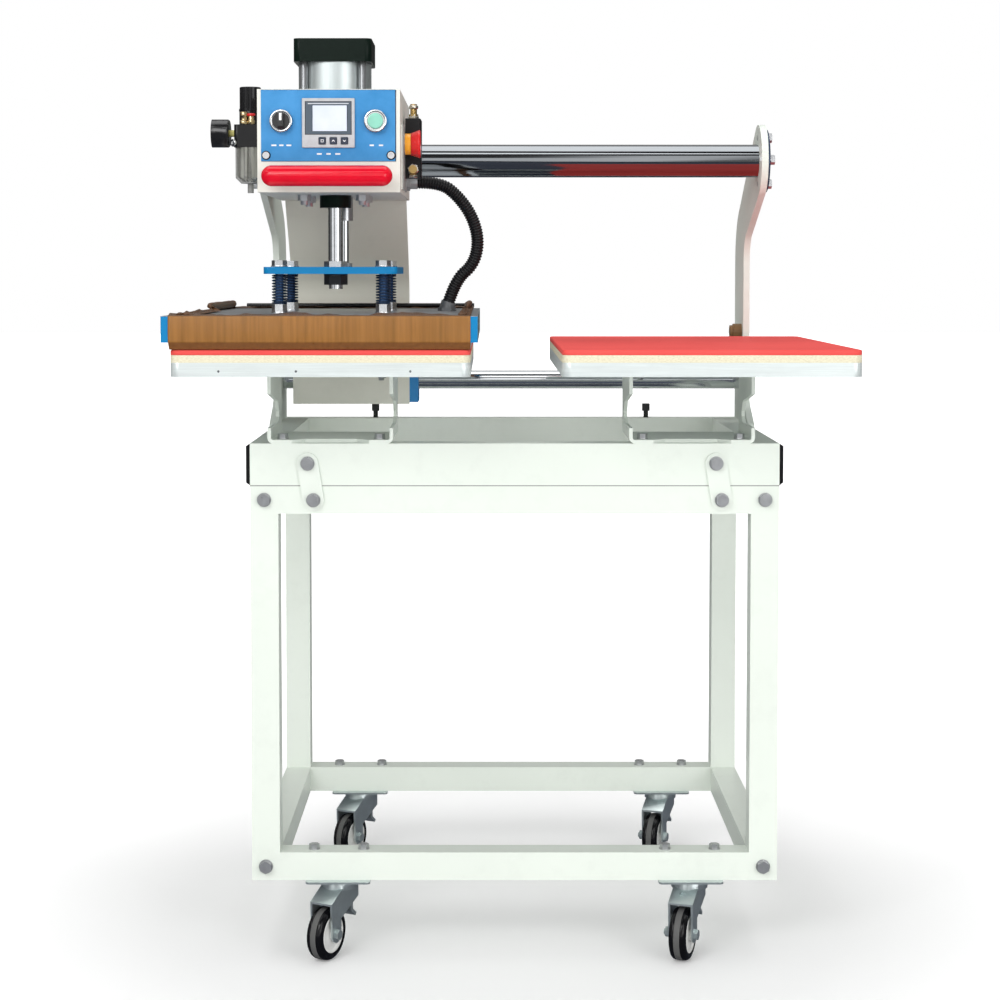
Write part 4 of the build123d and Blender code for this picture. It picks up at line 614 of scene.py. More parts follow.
# Pressed board with its flecks
board = Paint("pressed_board", (0.70, 0.65, 0.48), 0.62)
flecks = board.noise(260, 5, where=board.stretched(1, 1, 4), rough=0.7).clipped(0.42, 0.68)
board.tones(flecks, (0.74, 0.70, 0.53), (0.56, 0.50, 0.34))
board.set("Roughness", board.noise(90, 3) * 0.2 + 0.52)
board.bump(board.noise(300, 4), 250 * MICRON, 0.5)
dress(board, "platen_boards")

# Beam: hard chrome, with dark blue end flanges outside the side plates
beam = finished("beam_chrome", (0.27, 0.285, 0.30), 0.08, 1.0, (0.4, 14, 14), 10)
sides_low, sides_high = span("side_plates")
flanges = (beam.x > sides_high.x + 0.05 * MM).either(beam.x < sides_low.x - 0.05 * MM)
masked(beam, flanges, (0.03, 0.05, 0.10), 0.35, 0.3)
dress(beam, "beam_shaft")

# Head: off-white case; the strip that carries the stop button and the valve is painted darker grey as painted
# shade of the shadow it stands in.
STRIP_FROM = 100.03 * MM
head_paint = powder_coat("head_paint", (0.74, 0.745, 0.68), 0.38)
masked(head_paint, head_paint.x > head_x + STRIP_FROM, (0.36, 0.37, 0.36), 0.4)
dress(head_paint, "head_case")

# Sliding bearings: ground steel, off-white guide block, blue stop tab at its right end
GUIDE_BLOCK_BELOW = 0.9
bearing_skin = finished("bearing_steel", (0.55, 0.56, 0.57), 0.3, 1.0, 6, 50)
low_block = bearing_skin.z < GUIDE_BLOCK_BELOW
masked(bearing_skin, low_block, (0.66, 0.66, 0.60), 0.42, 0.0)
blue_tab = low_block.both(bearing_skin.x > span("back_plate")[1].x - 0.2 * MM)
masked(bearing_skin, blue_tab, (0.01, 0.20, 0.50), 0.4, 0.0)
dress(bearing_skin, "carriage_bearings")

# Control panel: blue printed sheet with faint clouds, and painted edge shadows along its right, top and
# bottom edges
PANEL_GLOSS = {"Specular_IOR_Level": 0.25, "Coat_Weight": 0.1, "Coat_Roughness": 0.2}
panel_paint = Paint("panel_print", (0.03, 0.22, 0.52), 0.38, **PANEL_GLOSS)
cloudy = panel_paint.noise(22, 4, rough=0.6).clipped(0.35, 0.7)
panel_paint.tones(cloudy, (0.026, 0.215, 0.49), (0.052, 0.275, 0.59))
panel_paint.set("Roughness", panel_paint.noise(60, 3) * 0.14 + 0.28)
panel_paint.bump(panel_paint.noise(130, 4, rough=0.6), 350 * MICRON, 0.4)
# Painted edge shadows: dark navy down the right edge, dark blue bands along the top and bottom edges.
masked(panel_paint, panel_paint.x > panel_high.x - 1.1 * MM, (0.012, 0.02, 0.045), 0.5)
lower_edge_shadow = panel_paint.z < panel_low.z + 0.6 * MM
edge_shadow_bands = (panel_paint.z > panel_high.z - 0.6 * MM).either(lower_edge_shadow)
masked(panel_paint, edge_shadow_bands, (0.03, 0.10, 0.21), 0.5)
dress(panel_paint, "control_panel")

# Controller: pale bezel, slate frame round the screen with a painted highlight line along its top, black body
# behind
case_paint = finished("controller_bezel", (0.50, 0.51, 0.53), 0.36, 0.0, 8, 20)
masked(case_paint, window(case_paint, 32.7, -16.5, 30.2), (0.012, 0.014, 0.02), 0.3)
masked(case_paint, window(case_paint, 31.7, -15.5, 29.2), (0.06, 0.085, 0.115), 0.3)
# Painted highlight: a pale line along the top of the slate frame.
masked(case_paint, window(case_paint, 28.5, 26.2, 27.6), (0.55, 0.58, 0.62), 0.35)
masked(case_paint, case_paint.y > controller_front + 3.5 * MM, (0.02, 0.02, 0.022), 0.45)
dress(case_paint, "controller_case")

# Keys: dark blue, marked with a square, an upward and a downward chevron
MARK = 1.9 * MM
MARK_LINE = 0.65 * MM
for key, kind in (("key_left", "square"), ("key_middle", "up"), ("key_right", "down")):
    key_paint = finished(key + "_navy", (0.022, 0.032, 0.06), 0.35, 0.0, 6, 20)
    centre = middle(key)
    off_x, off_z = (key_paint.x - centre.x).size(), key_paint.z - centre.z
    reach = off_x.either(off_z.size())
    if kind == "square":
        mark = (reach < MARK).both(reach > MARK - MARK_LINE)
    else:
        slope = off_z + off_x if kind == "up" else off_z - off_x
        peak = MARK / 2 if kind == "up" else -MARK / 2
        mark = ((slope - peak).size() < MARK_LINE).both(off_x < MARK)
    on_face = key_paint.y < span(key)[0].y + 0.3 * MM
    masked(key_paint, mark.both(on_face), (0.80, 0.82, 0.84), 0.4)
    dress(key_paint, key)

# Button rings: chrome in front, the stop button's collar orange-yellow
COLLAR_FROM = 103.1 * MM
ring_skin = finished("chrome_rings", (0.76, 0.77, 0.78), 0.12, 1.0, 3, 10)
masked(ring_skin, ring_skin.x > head_x + COLLAR_FROM, (0.95, 0.40, 0.02), 0.3, 0.0)
dress(ring_skin, "button_bases")

# Selector knob: black, with a white pointer on its bar
pointer = Paint("selector_black", (0.015, 0.015, 0.016), 0.3)
grain = pointer.noise(400, 3)
pointer.set("Roughness", grain * 0.15 + 0.26)
pointer.tones(grain, (0.012, 0.012, 0.013), (0.022, 0.022, 0.024))
pointer.bump(grain, 30 * MICRON, 0.4)
stripe = ((pointer.x - knob.x).size() < 1.7 * MM).both(pointer.z > knob.z + 0.5 * MM)
on_bar = pointer.y < span("selector_knob")[0].y + 4 * MM
masked(pointer, stripe.both(on_bar), (0.85, 0.86, 0.86), 0.4)
dress(pointer, "selector_knob")

# Carriage fasteners: bright zinc, tie rods of dark steel beside the barrel
fastener_skin = finished("carriage_zinc", (0.66, 0.67, 0.68), 0.34, 0.8, 2, 120)
tie_rods = fastener_skin.z.between(head_top + 0.2 * MM, span("cylinder_barrel")[1].z)
masked(fastener_skin, tie_rods, (0.30, 0.31, 0.32), 0.3)
dress(fastener_skin, "carriage_fasteners")

# Nuts on the piston rod: zinc above the blue plate, dark below it
nut_skin = finished("rod_nuts", (0.68, 0.69, 0.70), 0.24, 1.0, 2, 100)
below_plate = nut_skin.z < span("spring_plate")[0].z + 0.2 * MM
masked(nut_skin, below_plate, (0.03, 0.034, 0.04), 0.35, 0.5)
dress(nut_skin, "rod_nuts")

# Steel cover of the heated platen: blue paint with bare metal on top; its right side, the same blue paint, is
# painted darker teal-grey as painted shade
cover_skin = powder_coat("cover_paint", BRIGHT_BLUE, 0.34, 0.6)
cover_skin.set("Specular IOR Level", 0.15)
# Painted shade: the right side face in a dark teal-grey.
shaded_side_face = cover_skin.x > cover_high.x - 0.4 * MM
masked(cover_skin, shaded_side_face, (0.12, 0.20, 0.21), 0.35)
top_face = cover_skin.z > cover_high.z - 0.4 * MM
sheen = cover_skin.mix(cover_skin.noise(12, 4).clipped(0.3, 0.7), (0.42, 0.44, 0.45), (0.56, 0.58, 0.59))
masked(cover_skin, top_face, sheen, 0.3, 0.85)
dress(cover_skin, "platen_cover")

# Hose gland and connector: dark and light grey moulding
dress(finished("grey_moulding", (0.10, 0.105, 0.11), 0.4, 0.0, 10, 50), "hose_gland")
dress(finished("connector_grey", (0.30, 0.31, 0.32), 0.38, 0.3, 6, 50), "hose_connector")

# Brass: yellow tape on the gauge's stem, turned brass elsewhere
brass_skin = finished("brass_fittings", (0.50, 0.34, 0.13), 0.28, 1.0, (2, 2, 14), 40)
masked(brass_skin, brass_skin.x < gauge_high.x + 9 * MM, (0.72, 0.66, 0.22), 0.5, 0.0)
dress(brass_skin, "brass_fittings")

# Smoky clear bowl, solid at its drain
smoke = Paint("smoky_bowl", (0.26, 0.26, 0.22), 0.08, 0.0, Coat_Weight=0.6, IOR=1.5)
streaks = smoke.noise(9, 2, where=smoke.stretched(28, 28, 0.8))
smoke.tones(streaks.clipped(0.42, 0.58), (0.10, 0.10, 0.085), (0.40, 0.40, 0.36))
smoke.set("Roughness", streaks * 0.1 + 0.06)
drain = smoke.z < bowl_low.z + 14.3 * MM
masked(smoke, drain, (0.25, 0.25, 0.24), 0.4)
smoke.set("Alpha", (streaks * 0.25 + 0.42).either(drain))
dress(smoke, "regulator_bowl")
smoke.material.surface_render_method = "BLENDED"

soften(1.2 * MM, "head_case", "controller_case", "valve_body", "spring_plate", "platen_cover")
soften(0.8 * MM, "lower_platens", "platen_boards", "rail_end_caps", "cylinder_heads")
soften(0.8 * MM, "frame_bolts", "carriage_fasteners")
soften(0.6 * MM, "spring_bolts", "rod_nuts", "caster_plates")
soften(0.6 * MM, "hose_gland", "hose_connector", "brass_fittings")
soften(1.0 * MM, "regulator_body", "pressure_gauge", "button_bases", "beam_shaft")
for corner in CORNERS:
    soften(0.8 * MM, "caster_fork_" + corner, "caster_brake_" + corner)


# Cloth round the heated platen: one sheet from hem to hem, taut below, wrinkled on top
def ripple(x, y, scale, seed):
    """Smooth noise from -1 to 1."""
    return noise.noise(Vector((x * scale + seed, y * scale, seed * 0.37)))


def along_line(points, step):
    """Points a step apart along straight runs of (y, z)."""
    made = []
    for (ya, za), (yb, zb) in zip(points, points[1:]):
        count = max(1, round(math.hypot(yb - ya, zb - za) / step))
        made += [(ya + (yb - ya) * i / count, za + (zb - za) * i / count) for i in range(count)]
    return made + [points[-1]]


CLOTH_EDGE = cloth_low.z + 0.3 * MM
CLOTH_STEP = 2.2 * MM
UNDERSIDE_STEP = 60 * MM
PLATEN_HALF = 0.300
COVER_HALF = 0.310
HEM = 0.036
ACROSS = 150
top_z = cover_high.z + 0.5 * MM
front_runs = [
    (-COVER_HALF + HEM, top_z),
    (-COVER_HALF - 0.0002, top_z + 0.0002),
    (-COVER_HALF - 0.0006, top_z - 0.0012),
    (-COVER_HALF - 0.0006, cover_low.z + 0.0006),
    (-COVER_HALF + 0.0006, cover_low.z - 0.0006),
    (-PLATEN_HALF - 0.0004, CLOTH_EDGE + 0.0002),
    (-PLATEN_HALF + 0.002, CLOTH_EDGE),
]
rear_runs = [(-y, z) for y, z in reversed(front_runs)]
underside = along_line([front_runs[-1], rear_runs[0]], UNDERSIDE_STEP)[1:-1]
cloth_line = along_line(front_runs, CLOTH_STEP) + underside + along_line(rear_runs, CLOTH_STEP)
cloth_span = (cloth_low.x + 0.4 * MM, cloth_high.x - 0.4 * MM)
cloth_shape = bmesh.new()
grid = []
for i in range(ACROSS + 1):
    x = cloth_span[0] + (cloth_span[1] - cloth_span[0]) * i / ACROSS
    row = []
    for y, z in cloth_line:
        side = -1 if y < 0 else 1
        in_hem = abs(y) < COVER_HALF - 0.0005 and z > cover_low.z
        shift_y, lift = 0, 0
        if in_hem:
            share = max(0, (COVER_HALF - abs(y)) / HEM)
            shift_y = -side * share * (0.009 * ripple(x, side, 9, 3.1) + 0.004 * ripple(x, side, 31, 5.7))
            fold = max(0, ripple(x, y, 16, 8.3)) * 0.009 + max(0, ripple(x, y, 47, 1.9)) * 0.004
            lift = fold * min(1, share * 3) * (1.15 - share * 0.4) + 0.0002
        elif abs(y) > COVER_HALF and cover_low.z + 0.003 < z < cover_high.z - 0.002:
            height = (z - cover_low.z) / (cover_high.z - cover_low.z)
            belly = math.sin(math.pi * height)
            waves = 0.0007 * ripple(x, z, 11, 2.2) + 0.0004 * ripple(x * 3, z, 22, 7.7)
            shift_y = side * belly * (0.0007 + waves)
        row.append(cloth_shape.verts.new((x, press_y + y + shift_y, z + lift)))
    grid.append(row)
skinned(cloth_shape, grid)

THREAD = 0.9 * MM
glass_cloth = Paint("coated_glass_cloth", (0.28, 0.13, 0.036), 0.42, Specular_IOR_Level=0.35)
upright = glass_cloth.noise(9, 3, where=glass_cloth.stretched(18, 18, 0.5), rough=0.55)
patches = glass_cloth.noise(7, 3)
streaked = glass_cloth.mix(upright.clipped(0.3, 0.72), (0.215, 0.092, 0.016), (0.33, 0.140, 0.027))
patchy = glass_cloth.mix(patches.clipped(0.35, 0.7) * 0.35, streaked, (0.22, 0.105, 0.032))
# Painted shade on the slant under the cover's lower edge, which darkens it to a deep red-brown.
slant = glass_cloth.z.clipped(cover_low.z + 1.5 * MM, cover_low.z - 0.5 * MM)
shaded = glass_cloth.mix(slant * 0.55, patchy, (0.12, 0.036, 0.013))
topside = glass_cloth.z.clipped(cover_high.z - 0.8 * MM, cover_high.z + 1 * MM)
glass_cloth.tones(topside * 0.86, shaded, (0.055, 0.03, 0.018))
glass_cloth.set("Roughness", upright * 0.2 + 0.22)
threads_x = (glass_cloth.x * (2 * math.pi / THREAD)).sine()
threads_z = ((glass_cloth.z + glass_cloth.y) * (2 * math.pi / THREAD)).sine()
glass_cloth.bump(threads_x * threads_z * 0.5 + upright * 0.8, 120 * MICRON, 0.55)
cloth_wrap = piece_of("cloth_wrap", mesh_of("cloth_wrap", cloth_shape), glass_cloth)
thickened(cloth_wrap, 0.4 * MM)

# Side flaps of the cloth, folded over and rolled up
FLAP_STEPS = 90
FLAP_ACROSS = 56
FLAP_SPAN = (press_y - 0.300, press_y + 0.285)
FLAP_LIFT = 1.2 * MM
ROLL_TURNS = 1.6
ROLL_RADIUS = 6.2 * MM
ROLL_START = 0.4
flap_shape = bmesh.new()


def rolled_strip(x_edge, inward, width, roll_from):
    """A strip along the cover's side edge, whose inner edge is rolled up from roll_from backwards."""
    rows = []
    for i in range(FLAP_STEPS + 1):
        y = FLAP_SPAN[0] + (FLAP_SPAN[1] - FLAP_SPAN[0]) * i / FLAP_STEPS
        rolled = max(0, min(1, (y - roll_from) / 0.03))
        rolled = rolled * rolled * (3 - 2 * rolled)
        row = []
        flat_part = width * (0.42 + 0.08 * ripple(y, 0, 7, x_edge))
        for j in range(FLAP_ACROSS + 1):
            s = j / FLAP_ACROSS
            flat_x = s * width * (1 + 0.12 * ripple(y, s, 12, 4.4 + x_edge))
            crease = max(0, ripple(y, s, 20, 6.1 + x_edge)) * 0.006
            flat_z = top_z + FLAP_LIFT + crease * math.sin(math.pi * min(1, s * 1.1)) * (1 - rolled)
            if s < ROLL_START:
                coil_x, coil_z = flat_part * s / ROLL_START, top_z + FLAP_LIFT
            else:
                share = (s - ROLL_START) / (1 - ROLL_START)
                angle = share * ROLL_TURNS * 2 * math.pi
                radius = ROLL_RADIUS - 0.0045 * share + 0.0006 * ripple(y, s, 25, 1.3)
                coil_x = flat_part + radius * math.sin(angle)
                coil_z = top_z + FLAP_LIFT + ROLL_RADIUS - radius * math.cos(angle)
            x = x_edge + inward * (flat_x + (coil_x - flat_x) * rolled)
            row.append(flap_shape.verts.new((x, y, flat_z + (coil_z - flat_z) * rolled)))
        rows.append(row)
    skinned(flap_shape, rows)


rolled_strip(cloth_span[0], 1, 0.034, press_y - 0.02)
rolled_strip(cloth_span[1], -1, 0.017, press_y + 0.10)
flap_brown = Paint("flap_brown", (0.075, 0.035, 0.016), 0.4, Specular_IOR_Level=0.3)
weft = flap_brown.noise(16, 4, where=flap_brown.stretched(20, 1, 20), rough=0.6)
flap_brown.tones(weft.clipped(0.3, 0.7), (0.050, 0.022, 0.009), (0.17, 0.072, 0.022))
flap_brown.set("Roughness", weft * 0.2 + 0.3)
flap_brown.bump(weft, 200 * MICRON, 0.5)
cloth_flaps = piece_of("cloth_side_flaps", mesh_of("cloth_side_flaps", flap_shape), flap_brown)
thickened(cloth_flaps, 0.5 * MM)
placed(cloth_flaps, "heated_platen", "brown_cloth", "cloth_cover")

ROD_LENGTH = 365
rod_line = [(0, 0), (3, 0), (3.5, 0.5), (3.5, ROD_LENGTH - 0.5), (3, ROD_LENGTH), (0, ROD_LENGTH)]
rod_start = (cloth_span[0] + 36 * MM, press_y + COVER_HALF - 17 * MM, top_z + 4.2 * MM)
rod_parts = [(rod_line, rod_start, ALONG_X, 20)]
on_platen = {"body": "heated_platen", "replaced": ["cloth_cover"]}
cloth_rod = turned_piece("cloth_rod", black_gloss, "brown_cloth", rod_parts, 0.4 * MM, **on_platen)
placed(cloth_wrap, "heated_platen", "brown_cloth", "cloth_cover")

# Silicone foam pads: rounded slabs that sag a little between their corners
PAD_CORNER = 12 * MM
PAD_EDGE = 1.6 * MM
PAD_SAG = 0.5 * MM
PAD_RINGS = (0.006, 0.016, 0.035, 0.07, 0.11, 0.16, 0.185)
PAD_HALF_X, PAD_HALF_Y = 0.2, 0.3
silicone = Paint("red_silicone", (0.76, 0.075, 0.065), 0.6, Specular_IOR_Level=0.3)
pores = silicone.noise(900, 3, rough=0.7)
tone = silicone.noise(5, 3).clipped(0.3, 0.7)
silicone.tones(tone, (0.72, 0.068, 0.06), (0.80, 0.085, 0.075))
silicone.set("Roughness", pores * 0.2 + 0.52)
silicone.bump(pores, 120 * MICRON, 0.5)


def rounded_outline(half_x, half_y, corner, steps=8):
    """A rounded rectangle's points, one turn round."""
    points = []
    for index, (sx, sy) in enumerate(((1, 1), (-1, 1), (-1, -1), (1, -1))):
        for step in range(steps + 1):
            angle = math.pi / 2 * (index + step / steps)
            x = sx * (half_x - corner) + corner * math.cos(angle)
            points.append((x, sy * (half_y - corner) + corner * math.sin(angle)))
    return points


def soft_slab(shape, centre_x, low, high):
    """A slab with rounded corners and edges, and a top of rings that rises and falls a little."""
    levels = [(12 * MM, low, 0), (0.6 * MM, low, 0), (0, low + PAD_EDGE * 0.4, 0), (0, high - PAD_EDGE, 0)]
    levels += [(PAD_EDGE * 0.3, high - PAD_EDGE * 0.3, 0), (PAD_EDGE, high, 0)]
    levels += [(inset, high, 1) for inset in PAD_RINGS]
    rings = []
    for inset, z, free in levels:
        corner = max(0.001, PAD_CORNER - inset * 0.2)
        ring = []
        for x, y in rounded_outline(PAD_HALF_X - inset, PAD_HALF_Y - inset, corner):
            wave = free * PAD_SAG * (ripple(x, y, 9, 2.4) - 1)
            ring.append(shape.verts.new((centre_x + x, press_y + y, z + wave)))
        rings.append(ring)
    for lower, upper in zip(rings, rings[1:]):
        count = len(lower)
        for i in range(count):
            j = (i + 1) % count
            shape.faces.new((lower[i], lower[j], upper[j], upper[i]))
    shape.faces.new(list(reversed(rings[0])))
    shape.faces.new(rings[-1])


pad_shape = bmesh.new()
for station_x in (pads_low.x + PAD_HALF_X, pads_high.x - PAD_HALF_X):
    soft_slab(pad_shape, station_x, pads_low.z, pads_high.z)
silicone_slabs = piece_from("silicone_slabs", pad_shape, silicone)
placed(silicone_slabs, "stand", "red_silicone", "silicone_pads")


# Caster wheels: glossy black tyre, grey tread, white hub, as part.py places them
def mirrored(half):
    """A profile that goes on as its own mirror image."""
    return half + [(radius, -along) for radius, along in reversed(half)]


WHEEL_RADIUS = 0.0375
TRAIL = 0.036
WHEEL_STEPS = 64
FRONT_Y, REAR_Y = -0.1716, 0.3484
LEFT_X, RIGHT_X = -0.247, 0.257
LEFT_SWING, RIGHT_SWING = -27, -20
CASTERS = {
    "front_left": (LEFT_X, FRONT_Y, LEFT_SWING),
    "front_right": (RIGHT_X, FRONT_Y, RIGHT_SWING),
    "rear_left": (LEFT_X, REAR_Y, LEFT_SWING),
    "rear_right": (RIGHT_X, REAR_Y, RIGHT_SWING),
}
TYRE_LINE = mirrored(
    [
        (26.2, -11.2), (27.2, -12.1), (29.0, -12.5), (31.8, -12.4), (34.5, -11.3),
        (36.2, -9.4), (37.1, -7.0), (37.25, -4.8), (37.1, -4.5),
    ]
)
TREAD_LINE = mirrored([(36.6, -4.4), (37.4, -4.4), (37.5, -3.0)])
HUB_LINE = mirrored(
    [
        (4.05, -14.7), (7.2, -14.7), (8.0, -14.0), (8.0, -11.8), (9.2, -10.8),
        (20.0, -10.4), (22.2, -10.8), (23.6, -12.0), (25.0, -12.4), (26.6, -12.0),
    ]
)
for corner, (x, y, swing) in CASTERS.items():
    aim = Matrix.Rotation(math.radians(swing), 3, "Z")
    hub_spot = Vector((x, y, WHEEL_RADIUS)) + aim @ Vector((0, -TRAIL, 0))
    axle = aim @ Vector(ALONG_X)
    wheel_shape = bmesh.new()
    for material_index, profile in enumerate((TYRE_LINE, TREAD_LINE, HUB_LINE)):
        before = len(wheel_shape.faces)
        turned(wheel_shape, profile, hub_spot, axle, WHEEL_STEPS)
        for face in list(wheel_shape.faces)[before:]:
            face.material_index = material_index
    wheel = piece_from("wheel_" + corner, wheel_shape, tyre_black)
    wheel.data.materials.append(tread_grey.material)
    wheel.data.materials.append(hub_white.material)
    placed(wheel, "wheel_" + corner, "wheel_rubber", "caster_wheel_" + corner)

# Screen of the controller: pale liquid crystal under glass
SCREEN_HALF = (24.1 * MM, 18.1 * MM)
screen_x, screen_z = controller.x + 2 * MM, controller.z + 6.5 * MM
crystal = Paint("liquid_crystal", (0.70, 0.75, 0.84), 0.12, Specular_IOR_Level=0.3)
cloud = crystal.noise(40, 2)
crystal.tones(cloud.clipped(0.3, 0.7), (0.60, 0.66, 0.77), (0.66, 0.71, 0.80))
crystal.set("Roughness", cloud * 0.08 + 0.1)
crystal.set("Emission Color", crystal.mix(cloud, (0.80, 0.86, 0.95), (0.88, 0.91, 0.96)))
crystal.set("Emission Strength", 0.05)
screen_shape = bmesh.new()
slab(
    screen_shape,
    (screen_x - SCREEN_HALF[0], controller_front + 0.6 * MM, screen_z - SCREEN_HALF[1]),
    (screen_x + SCREEN_HALF[0], controller_front + 1.25 * MM, screen_z + SCREEN_HALF[1]),
)
screen = piece_from("controller_screen", screen_shape, crystal, False)
edge_bevel(screen, 0.4 * MM)
placed(screen, "carriage", "black_plastic")

# Printed marks: plain position dashes below the controls
DASH_HALF_HEIGHT = 1.1 * MM
DASH_THICKNESS = 0.06 * MM
SHORT_DASH, LONG_DASH = 6 * MM, 7 * MM
BUTTON_DASHES = (-0.1955, -0.1825)


def dash_row(x, z, spread):
    """Three dashes, the middle one shorter."""
    return [(x - spread, z, LONG_DASH), (x, z, SHORT_DASH), (x + spread, z, LONG_DASH)]


outer_z = knob.z - 33.5 * MM
dashes = dash_row(knob.x, outer_z, 10.5 * MM) + dash_row(controller.x, controller.z - 43 * MM, 13 * MM)
dashes += [(x, outer_z, SHORT_DASH) for x in BUTTON_DASHES]
print_shape = bmesh.new()
for x, z, width in dashes:
    slab(
        print_shape,
        (x - width / 2, panel_low.y - DASH_THICKNESS, z - DASH_HALF_HEIGHT),
        (x + width / 2, panel_low.y + 0.2 * MM, z + DASH_HALF_HEIGHT),
    )
panel_prints = piece_from("panel_dashes", print_shape, mark_white, False)
edge_bevel(panel_prints, 0.25 * MM)
placed(panel_prints, "carriage", "panel_blue")

# Gauge: white dial with a scale, plain numbers and a glass in front of the needle
SWEEP = math.radians(270)
NUMBER_RADIUS = 10.8 * MM
NUMBER_SIZE = 4.2 * MM
NEEDLE_REACH = 14 * MM
NEEDLE_DEPTH = 1.45 * MM
dial_x = gauge_low.x + 1.5 * MM
dial_paint = Paint("dial_white", (0.82, 0.82, 0.80), 0.45)
dial_tone = dial_paint.noise(60, 2)
dial_paint.tones(dial_tone, (0.78, 0.78, 0.76), (0.86, 0.86, 0.84))
dial_paint.set("Roughness", dial_tone * 0.1 + 0.4)
dial_line = [(0, 0), (17.6, 0), (17.8, 0.1), (17.8, 0.3), (0, 0.3)]
dial_part = (dial_line, (dial_x, dial.y, dial.z), TO_THE_LEFT, 64)
turned_piece("gauge_dial", dial_paint, "gauge_case", [dial_part], 0.05 * MM, False)

mark_black = finished("mark_black", (0.02, 0.02, 0.022), 0.5, 0.0, 5, 10)
scale = Shape("gauge_scale", Marks=31, Radius=15 * MM, Sweep=SWEEP, Length=2.2 * MM, Width=0.35 * MM)
index = scale.node("GeometryNodeInputIndex", {})
count = scale.size("Marks")
mark_line = scale.node("GeometryNodeMeshLine", {"mode": "OFFSET"}, Count=count, Offset=(0, 0, 0))
turn_to = scale.size("Sweep") * (index / (count - 1) - 0.5)
mark_y = turn_to.sine() * scale.size("Radius") * -1 + dial.y
mark_z = (turn_to + math.pi / 2).sine() * scale.size("Radius") + dial.z
mark_place = scale.vector(dial_x - 0.3 * MM, mark_y, mark_z)
spots = scale.node("GeometryNodeSetPosition", {}, mark_line, Position=mark_place)
major = scale.node("ShaderNodeMath", {"operation": "MODULO"}, index, 3) < 0.5
mark_width = scale.size("Width") * (major * 0.6 + 0.7)
mark_length = scale.size("Length") * (major * 0.45 + 0.55)
marks = scale.node(
    "GeometryNodeInstanceOnPoints",
    {},
    spots,
    Instance=scale.node("GeometryNodeMeshCube", {}, (0.2 * MM, 1.0, 1.0)),
    Rotation=scale.vector(turn_to, 0.0, 0.0),
    Scale=scale.vector(1.0, mark_width, mark_length),
)
gauge_scale = scale.made_from(bpy.data.meshes.new("no_points"), marks, mark_black)
placed(gauge_scale, "carriage", "gauge_case")

numbers_shape = bmesh.new()
FACING_LEFT = Matrix(((0, 0, -1), (-1, 0, 0), (0, 1, 0))).to_4x4()
for number in range(0, 11, 2):
    text = bpy.data.curves.new(f"number_{number}", "FONT")
    text.body = str(number)
    text.size = NUMBER_SIZE
    text.extrude = 0.05 * MM
    text.align_x, text.align_y = "CENTER", "CENTER"
    holder = new_object(text.name, text)
    bpy.context.view_layer.update()
    flat = bpy.data.meshes.new_from_object(holder)
    bpy.data.objects.remove(holder)
    angle = SWEEP * (number / 10 - 0.5)
    away_y, away_z = math.sin(angle) * NUMBER_RADIUS, math.cos(angle) * NUMBER_RADIUS
    number_spot = Vector((dial_x - 0.34 * MM, dial.y - away_y, dial.z + away_z))
    flat.transform(Matrix.Translation(number_spot) @ FACING_LEFT)
    numbers_shape.from_mesh(flat)
gauge_numbers = piece_from("gauge_numbers", numbers_shape, mark_black, False)
placed(gauge_numbers, "carriage", "gauge_case")

glass_paint = Paint("gauge_glass", (0.9, 0.92, 0.93), 0.05, 0.0, IOR=1.5, Coat_Weight=1.0)
glass_tone = glass_paint.noise(20, 2)
glass_paint.tones(glass_tone, (0.86, 0.89, 0.90), (0.94, 0.95, 0.96))
glass_paint.set("Alpha", glass_tone * 0.04 + 0.10)
glass_paint.set("Roughness", glass_tone * 0.03 + 0.04)
glass_paint.material.surface_render_method = "BLENDED"
glass_line = [(0, 0), (17.7, 0), (17.7, 0.2), (12, 0.38), (0, 0.5)]
glass_part = (glass_line, (gauge_low.x + 0.6 * MM, dial.y, dial.z), TO_THE_LEFT, 64)
turned_piece("gauge_glass", glass_paint, "gauge_case", [glass_part])
gauge_skin = finished("gauge_black", (0.012, 0.012, 0.013), 0.18, 0.0, 6, 20)
off_y, off_z = (gauge_skin.y - dial.y).size(), (gauge_skin.z - dial.z).size()
needle_zone = (gauge_skin.x < gauge_low.x + NEEDLE_DEPTH).both(off_y.either(off_z) < NEEDLE_REACH)
masked(gauge_skin, needle_zone, (0.6, 0.02, 0.02), 0.4)
dress(gauge_skin, "pressure_gauge")

# Filter regulator: filter and its stem inside the bowl, push-in fittings with a red ring, hex plug
FITTING_BASE = 1.1932
RING_BASE = 1.2053
FITTING_FORWARD = 16.5 * MM
filter_line = [
    (0, 8), (4, 8), (5.5, 10), (5.5, 14), (10.5, 16.5), (11, 18), (11, 19), (8.2, 19.5), (8.2, 38),
    (13, 39.5), (14, 42), (14, 50.5), (0, 50.5),
]
filter_part = (filter_line, (bowl.x, bowl.y, bowl_low.z + 14 * MM), ALONG_Z, 40)
filter_paint = finished("filter_grey", (0.42, 0.42, 0.38), 0.45, 0.0, (10, 10, 30), 100)
turned_piece("filter_core", filter_paint, "clear_smoke", [filter_part])

